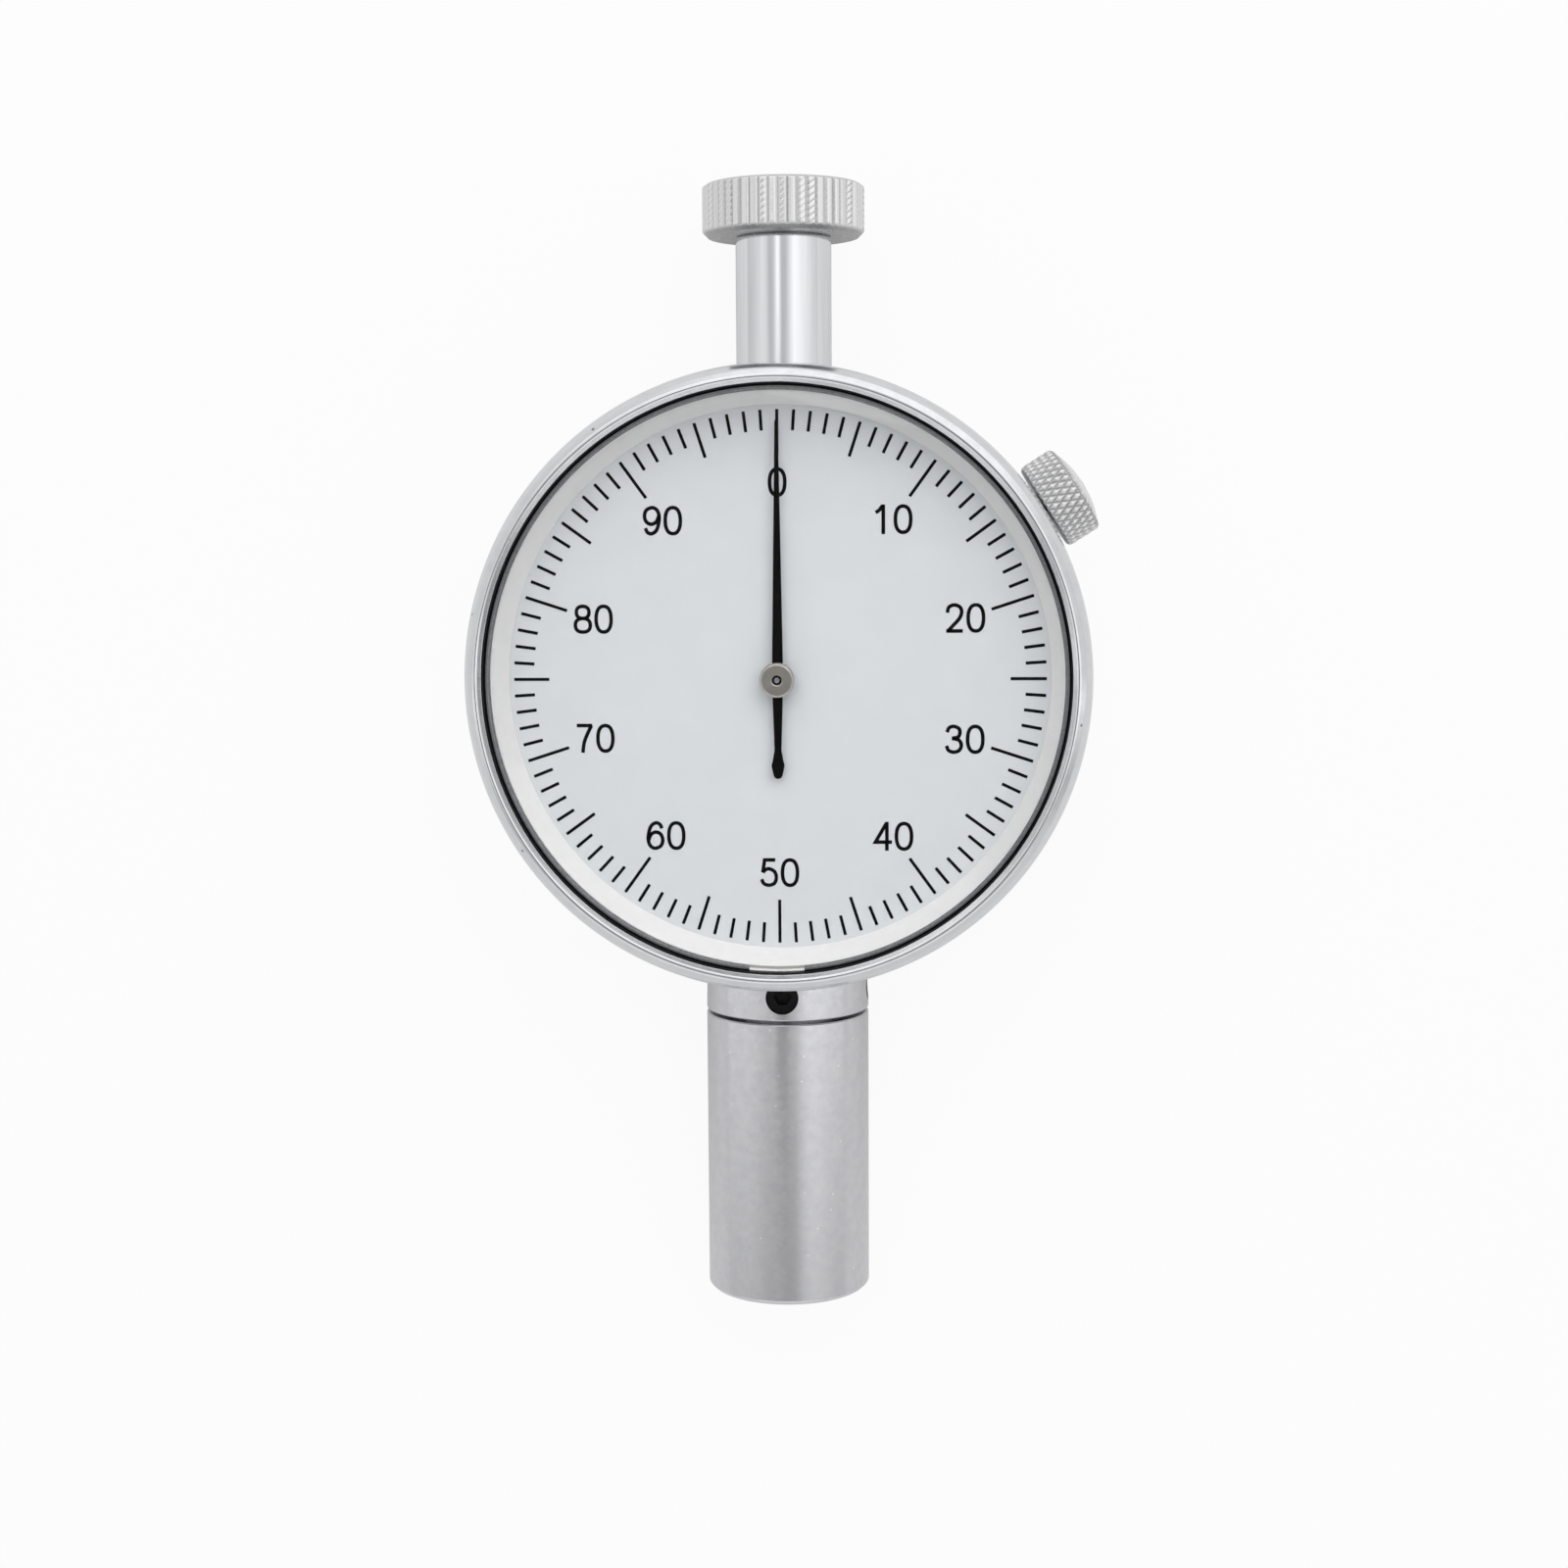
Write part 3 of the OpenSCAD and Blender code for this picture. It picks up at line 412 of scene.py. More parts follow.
# The section runs up the spigot, out along the flange, up the rim, over the shoulder and down inside
def makeBezel(s):
    low, top, dialZ = bezelLow[2], bezelHigh[2], dialLow[2]
    grooveLow, grooveHigh = s["grooveZ"] - s["grooveHalf"], s["grooveZ"] + s["grooveHalf"]
    rimFloor = bezelR - s["rimDeep"]
    shoulder = [(bezelR - inwards, top - down) for inwards, down in s["shoulder"]]
    places = [
        (s["spigotIn"], low), (s["spigotOut"], low), (s["spigotOut"], grooveLow),
        (s["groove"], grooveLow + s["grooveSlope"]), (s["groove"], grooveHigh - s["grooveSlope"]),
        (s["spigotOut"], grooveHigh), (s["spigotOut"], s["flangeZ"]),
        (bezelR - s["flangeEdge"], s["flangeZ"]), (bezelR, s["flangeZ"] + s["flangeEdge"]),
        (bezelR, s["rimLow"]), (rimFloor, s["rimLow"]), (rimFloor, s["rimHigh"]), (bezelR, s["rimHigh"]),
        *shoulder, (s["lipR"], top - s["lipDrop"]),
        (s["lipR"], s["wireHighZ"]), (s["wireSeatR"], s["wireHighZ"]), (s["wireSeatR"], s["wireLowZ"]),
        (s["pocketR"], s["wireLowZ"]), (s["pocketR"], dialZ), (s["spigotIn"], dialZ)]
    fitPiece(lathed("bezelRing", places, s, dialAxis), bezelChrome, "bezel", "bezel_chrome", "bezel")


# Coin edge for turning it: the crest has the full radius, and the square of a tooth wave cuts in from it
def makeRim(s, ring):
    def limit(angle, height):
        return bezelR - s["toothDeep"] * (0.5 + 0.5 * np.cos(angle * s["teeth"])) ** 2 + 0 * height

    inside = bezelR - ring["rimDeep"] - s["sink"]
    low, high = ring["rimLow"], ring["rimHigh"]
    places = [(inside, low + s["gap"]), (bezelR - s["chamfer"], low + s["gap"]),
              (bezelR, low + s["chamferTall"]), (bezelR, high - s["chamferTall"]),
              (bezelR - s["chamfer"], high - s["gap"]), (inside, high - s["gap"])]
    profile = roundedProfile(places, s["rounds"], arcSteps=s["arcSteps"])
    surface = turned(profile, dialAxis, s["teeth"] * s["toothSamples"], limit=limit)
    fitPiece(meshPiece("bezelRimTeeth", surface, s["sharpDeg"]), bezelChrome, "bezel", "bezel_chrome")


makeBezel(bezelShape)
makeRim(rimShape, bezelShape)

# Dial: a thin enamelled disc with printed marks, a tapered spacer ring, the crystal and its snap ring
dialShape = dict(holeR=1.3, steps=192, rounds=[0.06] * 4)
printShape = dict(
    thick=0.015, sharpDeg=20, divisions=100, tens=10, fives=5, tickOut=26.1, tickIn=24.1, fiveIn=22.6,
    tenIn=21.8, tickWide=0.31, numeralR=19.1, numeralTall=2.88, numeralWide=1.84, numeralPitch=2.06,
    stroke=0.36)
spacerShape = dict(footWide=1.8, topWide=0.45, steps=256, rounds=[0.08, 0.05, 0.05, 0.12])
crystalShape = dict(bevel=0.2, steps=256, rounds=[0.08, 0.06, 0.06])
snapShape = dict(gapDeg=11.0, gapAtDeg=-90.0, thin=0.11, steps=300, sharpDeg=50)
# A black ring of painted shade, in the groove behind the snap ring
grooveShadowShape = dict(inR=28.28, outR=28.63, low=23.42, high=24.22, steps=300, rounds=[0.04, 0.04, 0.04, 0.08])


# The direction of a division on the dial, clockwise from the top
def divisionAngle(number, s):
    return fullTurn / 4 - number * fullTurn / s["divisions"]


# A flat box for each mark: its corners are middle +- half the length outwards +- half the width sideways
def tickSurface(s):
    number = np.arange(s["divisions"])
    inner = np.where(number % s["fives"] == 0, s["fiveIn"], s["tickIn"])
    inner = np.where(number % s["tens"] == 0, s["tenIn"], inner)
    outer = np.full(len(inner), s["tickOut"])
    angle = divisionAngle(number, s)
    outwards = np.stack([np.cos(angle), np.sin(angle), 0 * angle], -1)[:, None]
    sideways = np.stack([-np.sin(angle), np.cos(angle), 0 * angle], -1)[:, None]
    ends = np.stack([inner, inner, outer, outer], -1)
    plan = ends[..., None] * outwards + np.array([-0.5, 0.5, 0.5, -0.5])[:, None] * s["tickWide"] * sideways
    lift = np.array([0, 0, 1.0])
    points = np.concatenate([plan + dialHigh[2] * lift, plan + (dialHigh[2] + s["thick"]) * lift], 1)
    box = np.array([(0, 3, 2, 1), (4, 5, 6, 7), (0, 1, 5, 4), (1, 2, 6, 5), (2, 3, 7, 6), (3, 0, 4, 7)])
    faces = box + points.shape[1] * number[:, None, None]
    return points.reshape(-1, 3), faces.reshape(-1, 4)


# A curve through the points: on each span, the cubic whose ends take half the step between their neighbours
def smoothPath(points, steps=7):
    p = np.array(points, float)
    p = np.concatenate([2 * p[:1] - p[1:2], p, 2 * p[-1:] - p[-2:-1]])[:, None]
    t = np.linspace(0, 1, steps, endpoint=False)[:, None]
    a, b, c, d = p[:-3], p[1:-2], p[2:-1], p[3:]
    bend, twist = 2 * a - 5 * b + 4 * c - d, 3 * b - a - 3 * c + d
    spans = (2 * b + (c - a) * t + bend * t ** 2 + twist * t ** 3) / 2
    return np.concatenate([spans.reshape(-1, 2), p[-2]])


# A loop of the oval kind that numerals have: the cosine and sine are raised to a power just under one
def ovalPath(middle, half, steps=40, power=0.86):
    turn = np.linspace(0, fullTurn, steps, endpoint=False)
    wave = np.stack([np.cos(turn), np.sin(turn)], -1)
    return np.array(middle) + np.sign(wave) * np.abs(wave) ** power * np.array(half)


# The strokes of each numeral, as (closed, path) in a box one wide and one tall
sixPath = smoothPath([
    (0.93, 0.78), (0.80, 0.94), (0.52, 1), (0.18, 0.85), (0.01, 0.46), (0.06, 0.19), (0.25, 0.04), (0.52, 0),
    (0.86, 0.10), (0.98, 0.32), (0.86, 0.54), (0.54, 0.635), (0.20, 0.54), (0.02, 0.30)])
past = 0.067  # half a stroke, which a straight end needs to reach the numeral's full height
numeralStrokes = {
    "0": [(True, ovalPath((0.5, 0.5), (0.5, 0.5)))],
    "1": [(False, smoothPath([(0.10, 0.76), (0.33, 0.85), (0.56, 1.03)])),
          (False, np.array([(0.60, 1 + past), (0.60, -past)]))],
    "2": [(False, smoothPath([(0.02, 0.70), (0.14, 0.92), (0.50, 1), (0.86, 0.91), (0.96, 0.71), (0.80, 0.47),
                              (0.42, 0.22), (0.07, 0)])), (False, np.array([(-0.04, 0), (1.04, 0)]))],
    "3": [(False, smoothPath([(0.04, 0.77), (0.17, 0.94), (0.47, 1), (0.81, 0.92), (0.89, 0.76), (0.77, 0.59),
                              (0.36, 0.535)])),
          (False, smoothPath([(0.36, 0.535), (0.81, 0.47), (0.98, 0.27), (0.84, 0.07), (0.48, 0),
                              (0.14, 0.07), (0.0, 0.25)]))],
    "4": [(False, np.array([(0.72, 1.0), (0.0, 0.27), (1.10, 0.27)])),
          (False, np.array([(0.76, 1 + past), (0.76, -past)]))],
    "5": [(False, np.array([(0.92, 1.0), (0.20, 1.0), (0.08, 0.50)])),
          (False, smoothPath([(0.08, 0.50), (0.28, 0.62), (0.54, 0.645), (0.87, 0.53), (0.98, 0.31),
                              (0.85, 0.08), (0.47, 0), (0.14, 0.07), (0.0, 0.24)]))],
    "6": [(False, sixPath)],
    "7": [(False, np.array([(-0.02, 1.0), (1.02, 1.0)])),
          (False, smoothPath([(0.97, 1.0), (0.68, 0.66), (0.46, 0.32), (0.37, -past)]))],
    "8": [(True, ovalPath((0.5, 0.765), (0.42, 0.235))), (True, ovalPath((0.5, 0.265), (0.5, 0.265)))],
    "9": [(False, 1 - sixPath)],
}


# A flat ribbon carried along a path: path +- half its width sideways, over the cosine of half the turn,
# from low to high, with closed ends
def ribbon(path, closed, wide, low, high, leastCosine=0.4):
    before = np.roll(path, 1, 0) if closed else np.concatenate([2 * path[:1] - path[1:2], path[:-1]])
    after = np.roll(path, -1, 0) if closed else np.concatenate([path[1:], 2 * path[-1:] - path[-2:-1]])
    stepIn, stepOut = path - before, after - path
    stepIn = stepIn / np.linalg.norm(stepIn, axis=1, keepdims=True)
    stepOut = stepOut / np.linalg.norm(stepOut, axis=1, keepdims=True)
    along = stepIn + stepOut
    along = along / np.linalg.norm(along, axis=1, keepdims=True)
    mitre = wide / 2 / np.maximum(leastCosine, (along * stepIn).sum(1, keepdims=True))
    side = np.stack([-along[:, 1], along[:, 0]], -1) * mitre
    plan = np.stack([path - side, path + side, path + side, path - side], 1)
    level = np.broadcast_to(np.array([low, low, high, high])[:, None], plan.shape[:2] + (1,))
    points = np.concatenate([plan, level], -1)
    if not closed:
        ends = np.repeat(points[[0, -1]].mean(1, keepdims=True), 4, 1)
        points = np.concatenate([ends[:1], points, ends[1:]])
    return points.reshape(-1, 3), gridFaces(len(points), 4, closed, True)


# The numerals, each one's digits set a pitch apart and its box centred on the numeral circle
def numeralSurface(s):
    half = s["stroke"] / 2
    room = np.array([s["numeralWide"], s["numeralTall"]]) - s["stroke"]
    ribbons = []
    for number in range(0, s["divisions"], s["tens"]):
        paths = [(closed, path * room + (half + s["numeralPitch"] * i, half))
                 for i, digit in enumerate(str(number)) for closed, path in numeralStrokes[digit]]
        spread = np.concatenate([path for closed, path in paths])
        angle = divisionAngle(number, s)
        middle = (spread.min(0) + spread.max(0)) / 2
        shift = s["numeralR"] * np.array([math.cos(angle), math.sin(angle)]) - middle
        ribbons += [ribbon(path + shift, closed, s["stroke"], dialHigh[2], dialHigh[2] + s["thick"])
                    for closed, path in paths]
    return together(ribbons)


# A flat ring, from the hole to the rim, and the printing on top of it
def makeDial(s, marks):
    low, high = dialLow[2], dialHigh[2]
    places = [(s["holeR"], low), (dialR, low), (dialR, high), (s["holeR"], high)]
    fitPiece(lathed("dialFace", places, s, dialAxis), dialEnamel, "bezel", "dial_enamel", "dial_plate")
    for name, surface in (("dialTicks", tickSurface(marks)), ("dialNumerals", numeralSurface(marks))):
        fitPiece(meshPiece(name, surface, marks["sharpDeg"]), dialInk, "bezel", "black_enamel")


# A ring whose inside leans out, from footWide at the dial to topWide under the crystal
def makeSpacer(s):
    low, high = boxMm("dial_spacer_ring")
    places = [(high[0] - s["footWide"], low[2]), (high[0], low[2]), (high[0], high[2]),
              (high[0] - s["topWide"], high[2])]
    piece = lathed("spacerCone", places, s, dialAxis)
    fitPiece(piece, satinAluminium, "bezel", "satin_aluminium", "dial_spacer_ring")


# A flat disc with its upper edge bevelled
def makeCrystal(s):
    low, high = boxMm("crystal")
    places = [(0, low[2]), (high[0], low[2]), (high[0], high[2] - s["bevel"]),
              (high[0] - s["bevel"], high[2]), (0, high[2])]
    piece = lathed("crystalDisc", places, s, dialAxis, False)
    fitPiece(piece, mineralGlass, "bezel", "crystal_glass", "crystal")


# The snap ring's path: its radius times (cos, sin) from one side of its opening round to the other
def makeSnapWire(s):
    low, high = boxMm("crystal_snap_wire")
    inner = high[0] - (high[2] - low[2])
    thick = (high[2] - low[2]) / 2 - s["thin"]
    opening = math.radians(s["gapDeg"])
    angle = math.radians(s["gapAtDeg"]) + np.linspace(opening / 2, fullTurn - opening / 2, s["steps"])
    out = np.stack([np.cos(angle), np.sin(angle), 0 * angle], -1)
    path = (inner + thick) * out + np.array([0, 0, low[2] + thick])
    surface = wire(path, out, np.tile([0, 0, 1.0], (s["steps"], 1)), thick)
    fitPiece(meshPiece("snapWire", surface, s["sharpDeg"]), springSteel, "bezel", "spring_steel",
             "crystal_snap_wire")


# A square black ring behind the snap ring: painted shade in its groove
def makeSeal(s):
    places = [(s["inR"], s["low"]), (s["outR"], s["low"]), (s["outR"], s["high"]), (s["inR"], s["high"])]
    fitPiece(lathed("grooveShadowRing", places, s, dialAxis), grooveShadowBlack, "bezel", "black_enamel")


makeDial(dialShape, printShape)
makeSpacer(spacerShape)
makeCrystal(crystalShape)
makeSnapWire(snapShape)
makeSeal(grooveShadowShape)

# Pointer: a stamped blade that tapers to its tip, with a waisted tail, on a turned hub with lacquer in it
pointerShape = dict(
    wide=1.1, tipWide=0.3, waistWide=0.66, bulbR=0.63, endR=0.45, bulbRise=1.3, waistRise=1.5, neckDeg=30.0,
    seatR=1.45, seatHoleR=1.03, bevel=0.05, bevelShare=0.6, endSteps=12, stations=361, sharpDeg=30)
hubShape = dict(
    boreR=0.48, spigotR=1.0, headDrop=1.1, edge=0.2, steps=96,
    rounds=[0.05, 0.05, 0.02, 0.08, 0.1, 0.1, 0.07])
lacquerShape = dict(
    inR=0.25, down=0.3, tall=0.1, climb=1.6, lean=0.06, steps=96, rounds=[0.02, 0.02, 0.03, 0.04])


# Half the blade's width along its length: straight tapers to tip and waist, an egg of two circles with their
# common tangent, and a round seat, whichever is widest; the section is a flat with its upper edges bevelled
def makePointer(s):
    low, high = boxMm("pointer_hand")
    endR, bulbR = s["endR"], s["bulbR"]
    endY = low[1] + endR
    bulbY = low[1] + s["bulbRise"]
    waistY = bulbY + s["waistRise"]
    lean = math.asin((bulbR - endR) / (bulbY - endY))
    neck = math.radians(s["neckDeg"])
    y = np.concatenate([endY - endR * np.cos(np.linspace(0, fullTurn / 4, s["endSteps"])),
                        np.linspace(endY, high[1], s["stations"])[1:]])
    tapers = [(endY - endR * math.sin(lean), endR * math.cos(lean)),
              (bulbY - bulbR * math.sin(lean), bulbR * math.cos(lean)),
              (bulbY + bulbR * math.sin(neck), bulbR * math.cos(neck)),
              (waistY, s["waistWide"] / 2), (0, s["wide"] / 2), (high[1], s["tipWide"] / 2)]
    sides = np.interp(y, *zip(*tapers), left=0)
    discs = [np.sqrt(np.maximum(0, radius ** 2 - (y - middle) ** 2))
             for radius, middle in ((endR, endY), (bulbR, bulbY), (s["seatR"], 0))]
    half = np.maximum.reduce([sides] + discs)
    thick = high[2] - low[2]
    bevel = np.minimum(s["bevel"], half * s["bevelShare"])
    across = np.stack([-half, half, half, half - bevel, bevel - half, -half], -1)
    edge = thick - s["bevel"]
    above = np.broadcast_to(np.array([0, 0, edge, thick, thick, edge]), across.shape)
    sides = across.shape[1]
    section = np.stack([across, np.repeat(y[:, None], sides, 1), low[2] + above], -1)
    end = np.repeat(section[-1:].mean(1, keepdims=True), sides, 1)
    points = np.concatenate([section, end])
    surface = points.reshape(-1, 3), gridFaces(len(points), sides, False, True)
    blade = meshPiece("pointerBlade", surface, s["sharpDeg"])
    hole = pin(dialAxis, low[2] - cutPast, high[2] + cutPast, s["seatHoleR"])
    carve(blade, hole, sharpDeg=s["sharpDeg"])
    fitPiece(blade, pointerLacquer, "pointer", "black_enamel", "pointer_hand")


# A bored spigot and a head with a chamfered edge, and a ring of lacquer that climbs the bore's wall
def makeHub(s, lacquer):
    low, high = boxMm("pointer_hub")
    headZ = high[2] - s["headDrop"]
    places = [(s["boreR"], low[2]), (s["spigotR"], low[2]), (s["spigotR"], headZ), (high[0], headZ),
              (high[0], high[2] - s["edge"]), (high[0] - s["edge"], high[2]), (s["boreR"], high[2])]
    piece = lathed("pointerBoss", places, s, dialAxis)
    fitPiece(piece, turnedNickel, "pointer", "turned_nickel", "pointer_hub")
    inR, tall = lacquer["inR"], lacquer["tall"]
    floor = high[2] - lacquer["down"]
    places = [(inR, floor), (s["boreR"], floor), (s["boreR"], floor + lacquer["climb"] * tall),
              (inR + lacquer["lean"], floor + tall)]
    fitPiece(lathed("arborLacquer", places, lacquer, dialAxis), pointerLacquer, "pointer", "black_enamel")


makePointer(pointerShape)
makeHub(hubShape, lacquerShape)

# Case: a round tub with a web inside, spot-faced for collar and stem, with a clamp screw's boss and a cover
caseShape = dict(
    wall=4.3, boreR=26.45, webLow=12.5, webHigh=13.4, bushR=2.03, edge=0.4, seatGap=0.05, stemSeatBack=0.7,
    collarSeatBack=0.1, seatSteps=128, screwRing=25.2, screwR=0.83, screwDeep=5.0, screws=4, holeSteps=32,
    collarBoreR=3.72, stemBoreR=3.22, boreIn=0.6, boreSteps=96, pivotR=0.44,
    pivots=[(-3.687, -9.831), (8.109, 6.670)], pillarR=0.78, pillarRing=17.0, pillarDegs=(160, 80, 310),
    steps=256, rounds=[0.05, 0.3, 0.1, 0.15, 0.25, 0.2, 0.15, 0.2, 0.05])
bossShape = dict(angleDeg=32.5, radius=1.95, sink=0.5, end=29.4, holeR=1.53)
coverShape = dict(
    edge=0.4, lipOut=23.95, lipIn=23.0, lipTall=0.6, headR=1.49, holeR=0.85, coneEdge=0.01, holeSteps=48,
    steps=256, rounds=[0.15, 0.2, 0.1, 0.02, 0.1, 0.1, 0.02])
stemLow, stemHigh = boxMm("upper_stem")
stemR = stemHigh[0]
stemSeat = caseR - caseShape["stemSeatBack"]
collarSeat = -math.sqrt(caseR ** 2 - footR ** 2) + caseShape["collarSeatBack"]
clampAngle = math.radians(bossShape["angleDeg"])
clampZ = bezelShape["grooveZ"]
clampOut = np.array([math.cos(clampAngle), math.sin(clampAngle), 0])
clampAxis = np.array([(0, 0, clampZ), (0, 0, 1), np.cross(clampOut, (0, 0, 1)), clampOut])


# Places on a ring round the dial's axis: its radius times (cos, sin) of each angle
def ringPlaces(radius, angles):
    return [(radius * math.cos(a), radius * math.sin(a)) for a in angles]


# The dial's axis moved to a place
def movedAxis(place):
    return dialAxis + np.array([(*place, 0)] + [(0, 0, 0)] * 3)


# The axis of each cover screw, on its ring and halfway between X and Y
def coverScrewAxes(s):
    angle = fullTurn / 8 + np.arange(s["screws"]) * fullTurn / s["screws"]
    return [movedAxis(place) for place in ringPlaces(s["screwRing"], angle)]


# The section runs under the web, round the wall and in over the web; a boss is added, then seats, threads,
# bores and web holes are cut
def makeCase(s, boss):
    low, high = caseLow[2], caseHigh[2]
    cavity = caseR - s["wall"]
    places = [(s["bushR"], s["webLow"]), (cavity, s["webLow"]), (cavity, low), (caseR - s["edge"], low),
              (caseR, low + s["edge"]), (caseR, high), (s["boreR"], high), (s["boreR"], s["webHigh"]),
              (s["bushR"], s["webHigh"])]
    piece = lathed("caseShell", places, s, dialAxis)
    carve(piece, pin(clampAxis, s["boreR"] + boss["sink"], boss["end"], boss["radius"]), "UNION")
    wayPast = 2 * cutPast
    seats = [pin(stemAxis, stemSeat, caseR + wayPast, stemR + s["seatGap"], steps=s["seatSteps"]),
             pin(stemAxis, -caseR - wayPast, collarSeat, footR + s["seatGap"], steps=s["seatSteps"])]
    threads = [pin(clampAxis, s["boreR"] - wayPast, boss["end"] + wayPast, boss["holeR"])]
    threads += [pin(axis, low - cutPast, low + s["screwDeep"], s["screwR"], steps=s["holeSteps"])
                for axis in coverScrewAxes(s)]
    carve(piece, together(seats + threads))
    bores = [(cavity - s["boreIn"], caseR + cutPast, s["stemBoreR"]),
             (-caseR - cutPast, s["boreIn"] - cavity, s["collarBoreR"])]
    carve(piece, together([pin(stemAxis, *bore, steps=s["boreSteps"]) for bore in bores]))
    pillars = ringPlaces(s["pillarRing"], np.radians(s["pillarDegs"]))
    holes = [(place, s["pivotR"]) for place in s["pivots"]] + [(place, s["pillarR"]) for place in pillars]
    carve(piece, together([
        pin(movedAxis(place), s["webLow"] - cutPast, s["webHigh"] + cutPast, hole, steps=s["holeSteps"])
        for place, hole in holes]))
    fitPiece(piece, caseAlloy, "case", "case_alloy", "case_body")


# A plate with a lip inside the tub; each screw has a straight hole and a cone as deep as its head's radius
def makeCover(s, case):
    low, high = boxMm("back_cover")
    top = high[2] - s["lipTall"]
    places = [(0, low[2]), (high[0] - s["edge"], low[2]), (high[0], low[2] + s["edge"]), (high[0], top),
              (s["lipOut"], top), (s["lipOut"], high[2]), (s["lipIn"], high[2]), (s["lipIn"], top), (0, top)]
    piece = lathed("backPlate", places, s, dialAxis, False)
    axes = coverScrewAxes(case)
    holes = [pin(axis, -cutPast, high[2] + cutPast, s["holeR"], steps=s["holeSteps"]) for axis in axes]
    headR, edge = s["headR"], s["coneEdge"]
    cones = [pin(axis, -edge, headR, headR, edge, s["holeSteps"]) for axis in axes]
    carve(piece, together(holes))
    carve(piece, together(cones))
    fitPiece(piece, facedCover, "case", "case_alloy", "back_cover")


makeCase(caseShape, bossShape)
makeCover(coverShape, caseShape)

# Foot: a collar with four set screw holes, a bead-blasted barrel with its spring inside, and the needle
collarShape = dict(
    spindleGap=2.04, spigotBoreR=5.43, spigotBoreTop=4.45, threadR=3.7, screwRise=2.4, screwHoleR=1.65,
    screwFloorR=5.2, edge=0.15, steps=192, rounds=[0.05, 0.05, 0.05, 0.05, 0.08, 0.12, 0.05, 0.05, 0.1])
footShape = dict(
    holeR=1.5, edge=0.4, topEdge=0.15, spigotR=5.4, spigotTall=4.7, chamberR=4.2, bushR=3.03, bushTall=6.55,
    floor=2.2, steps=192, rounds=[0.1, 0.2, 0.35, 0.12, 0.08, 0.05, 0.15, 0.1, 0.1, 0.1, 0.1, 0.05])
needleShape = dict(tipR=0.1, coneDeg=15.0, steps=64, rounds=[0.05, 0.3, 0.05])
coilShape = dict(wireR=0.6, turns=5.5, seatGap=0.05, stepsPerTurn=48, sharpDeg=50)
collarLow, collarHigh = boxMm("lower_collar")
seamY = collarLow[1]
footTop = footHigh[1] - footShape["spigotTall"]


# A bored ring with a threaded neck into the case; four blind holes run in to screwFloorR from the sides
def makeCollar(s):
    top = collarHigh[1]
    boreTop = seamY + s["spigotBoreTop"]
    places = [(s["spindleGap"], top), (s["spindleGap"], boreTop), (s["spigotBoreR"], boreTop),
              (s["spigotBoreR"], seamY), (footR - s["edge"], seamY), (footR, seamY + s["edge"]),
              (footR, collarSeat), (s["threadR"], collarSeat), (s["threadR"], top)]
    piece = lathed("collarBody", places, s, stemAxis)
    middle = np.array([0, seamY + s["screwRise"], axisZ])
    across, along, up = np.eye(3)
    axes = [np.array([middle, along, np.cross(out, along), out]) for out in (up, across, -up, -across)]
    carve(piece, together([pin(axis, s["screwFloorR"], footR + cutPast, s["screwHoleR"]) for axis in axes]))
    fitPiece(piece, satinChrome, "case", "satin_chrome", "lower_collar")


# The section runs up the barrel's outside, over its spigot, down the spring's chamber and the bush's seat
def makeFoot(s):
    low, high = footLow[1], footHigh[1]
    floor = low + s["floor"]
    bushTop = floor + s["bushTall"]
    places = [(s["holeR"], low), (footR - s["edge"], low), (footR, low + s["edge"]),
              (footR, footTop - s["topEdge"]), (footR - s["topEdge"], footTop), (s["spigotR"], footTop),
              (s["spigotR"], high), (s["chamberR"], high), (s["chamberR"], bushTop), (s["bushR"], bushTop),
              (s["bushR"], floor), (s["holeR"], floor)]
    fitPiece(lathed("footBarrel", places, s, stemAxis), satinChrome, "case", "satin_chrome", "presser_foot")


# The cone's height is the step in radius over the tangent of half its angle
def makeNeedle(s):
    low, high = boxMm("indenter_needle")
    cone = (high[0] - s["tipR"]) / math.tan(math.radians(s["coneDeg"]))
    places = [(0, low[1]), (s["tipR"], low[1]), (high[0], low[1] + cone), (high[0], high[1]), (0, high[1])]
    piece = lathed("indenterPoint", places, s, stemAxis, False)
    fitPiece(piece, groundSteel, "indenter", "ground_steel", "indenter_needle")


# The coil's path: its radius times (cos, sin) of the turns, rising evenly from the flange to the adjuster
def makeCoil(s):
    low, high = boxMm("main_spring")
    share = np.linspace(0, 1, int(s["turns"] * s["stepsPerTurn"]) + 1)
    angle = share * s["turns"] * fullTurn
    out = np.stack([np.cos(angle), 0 * angle, np.sin(angle)], -1)
    rise = low[1] + s["wireR"] + share * (high[1] - low[1] - 2 * s["wireR"])
    path = (high[0] - s["wireR"]) * out + np.stack([0 * rise, rise, 0 * rise + axisZ], -1)
    surface = wire(path, out, np.tile([0, 1.0, 0], (len(path), 1)), s["wireR"])
    piece = meshPiece("mainCoil", surface, s["sharpDeg"])
    fitPiece(piece, springSteel, "case", "spring_steel", "main_spring")
    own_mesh(piece)


makeCollar(collarShape)
makeFoot(footShape)
makeNeedle(needleShape)
makeCoil(coilShape)

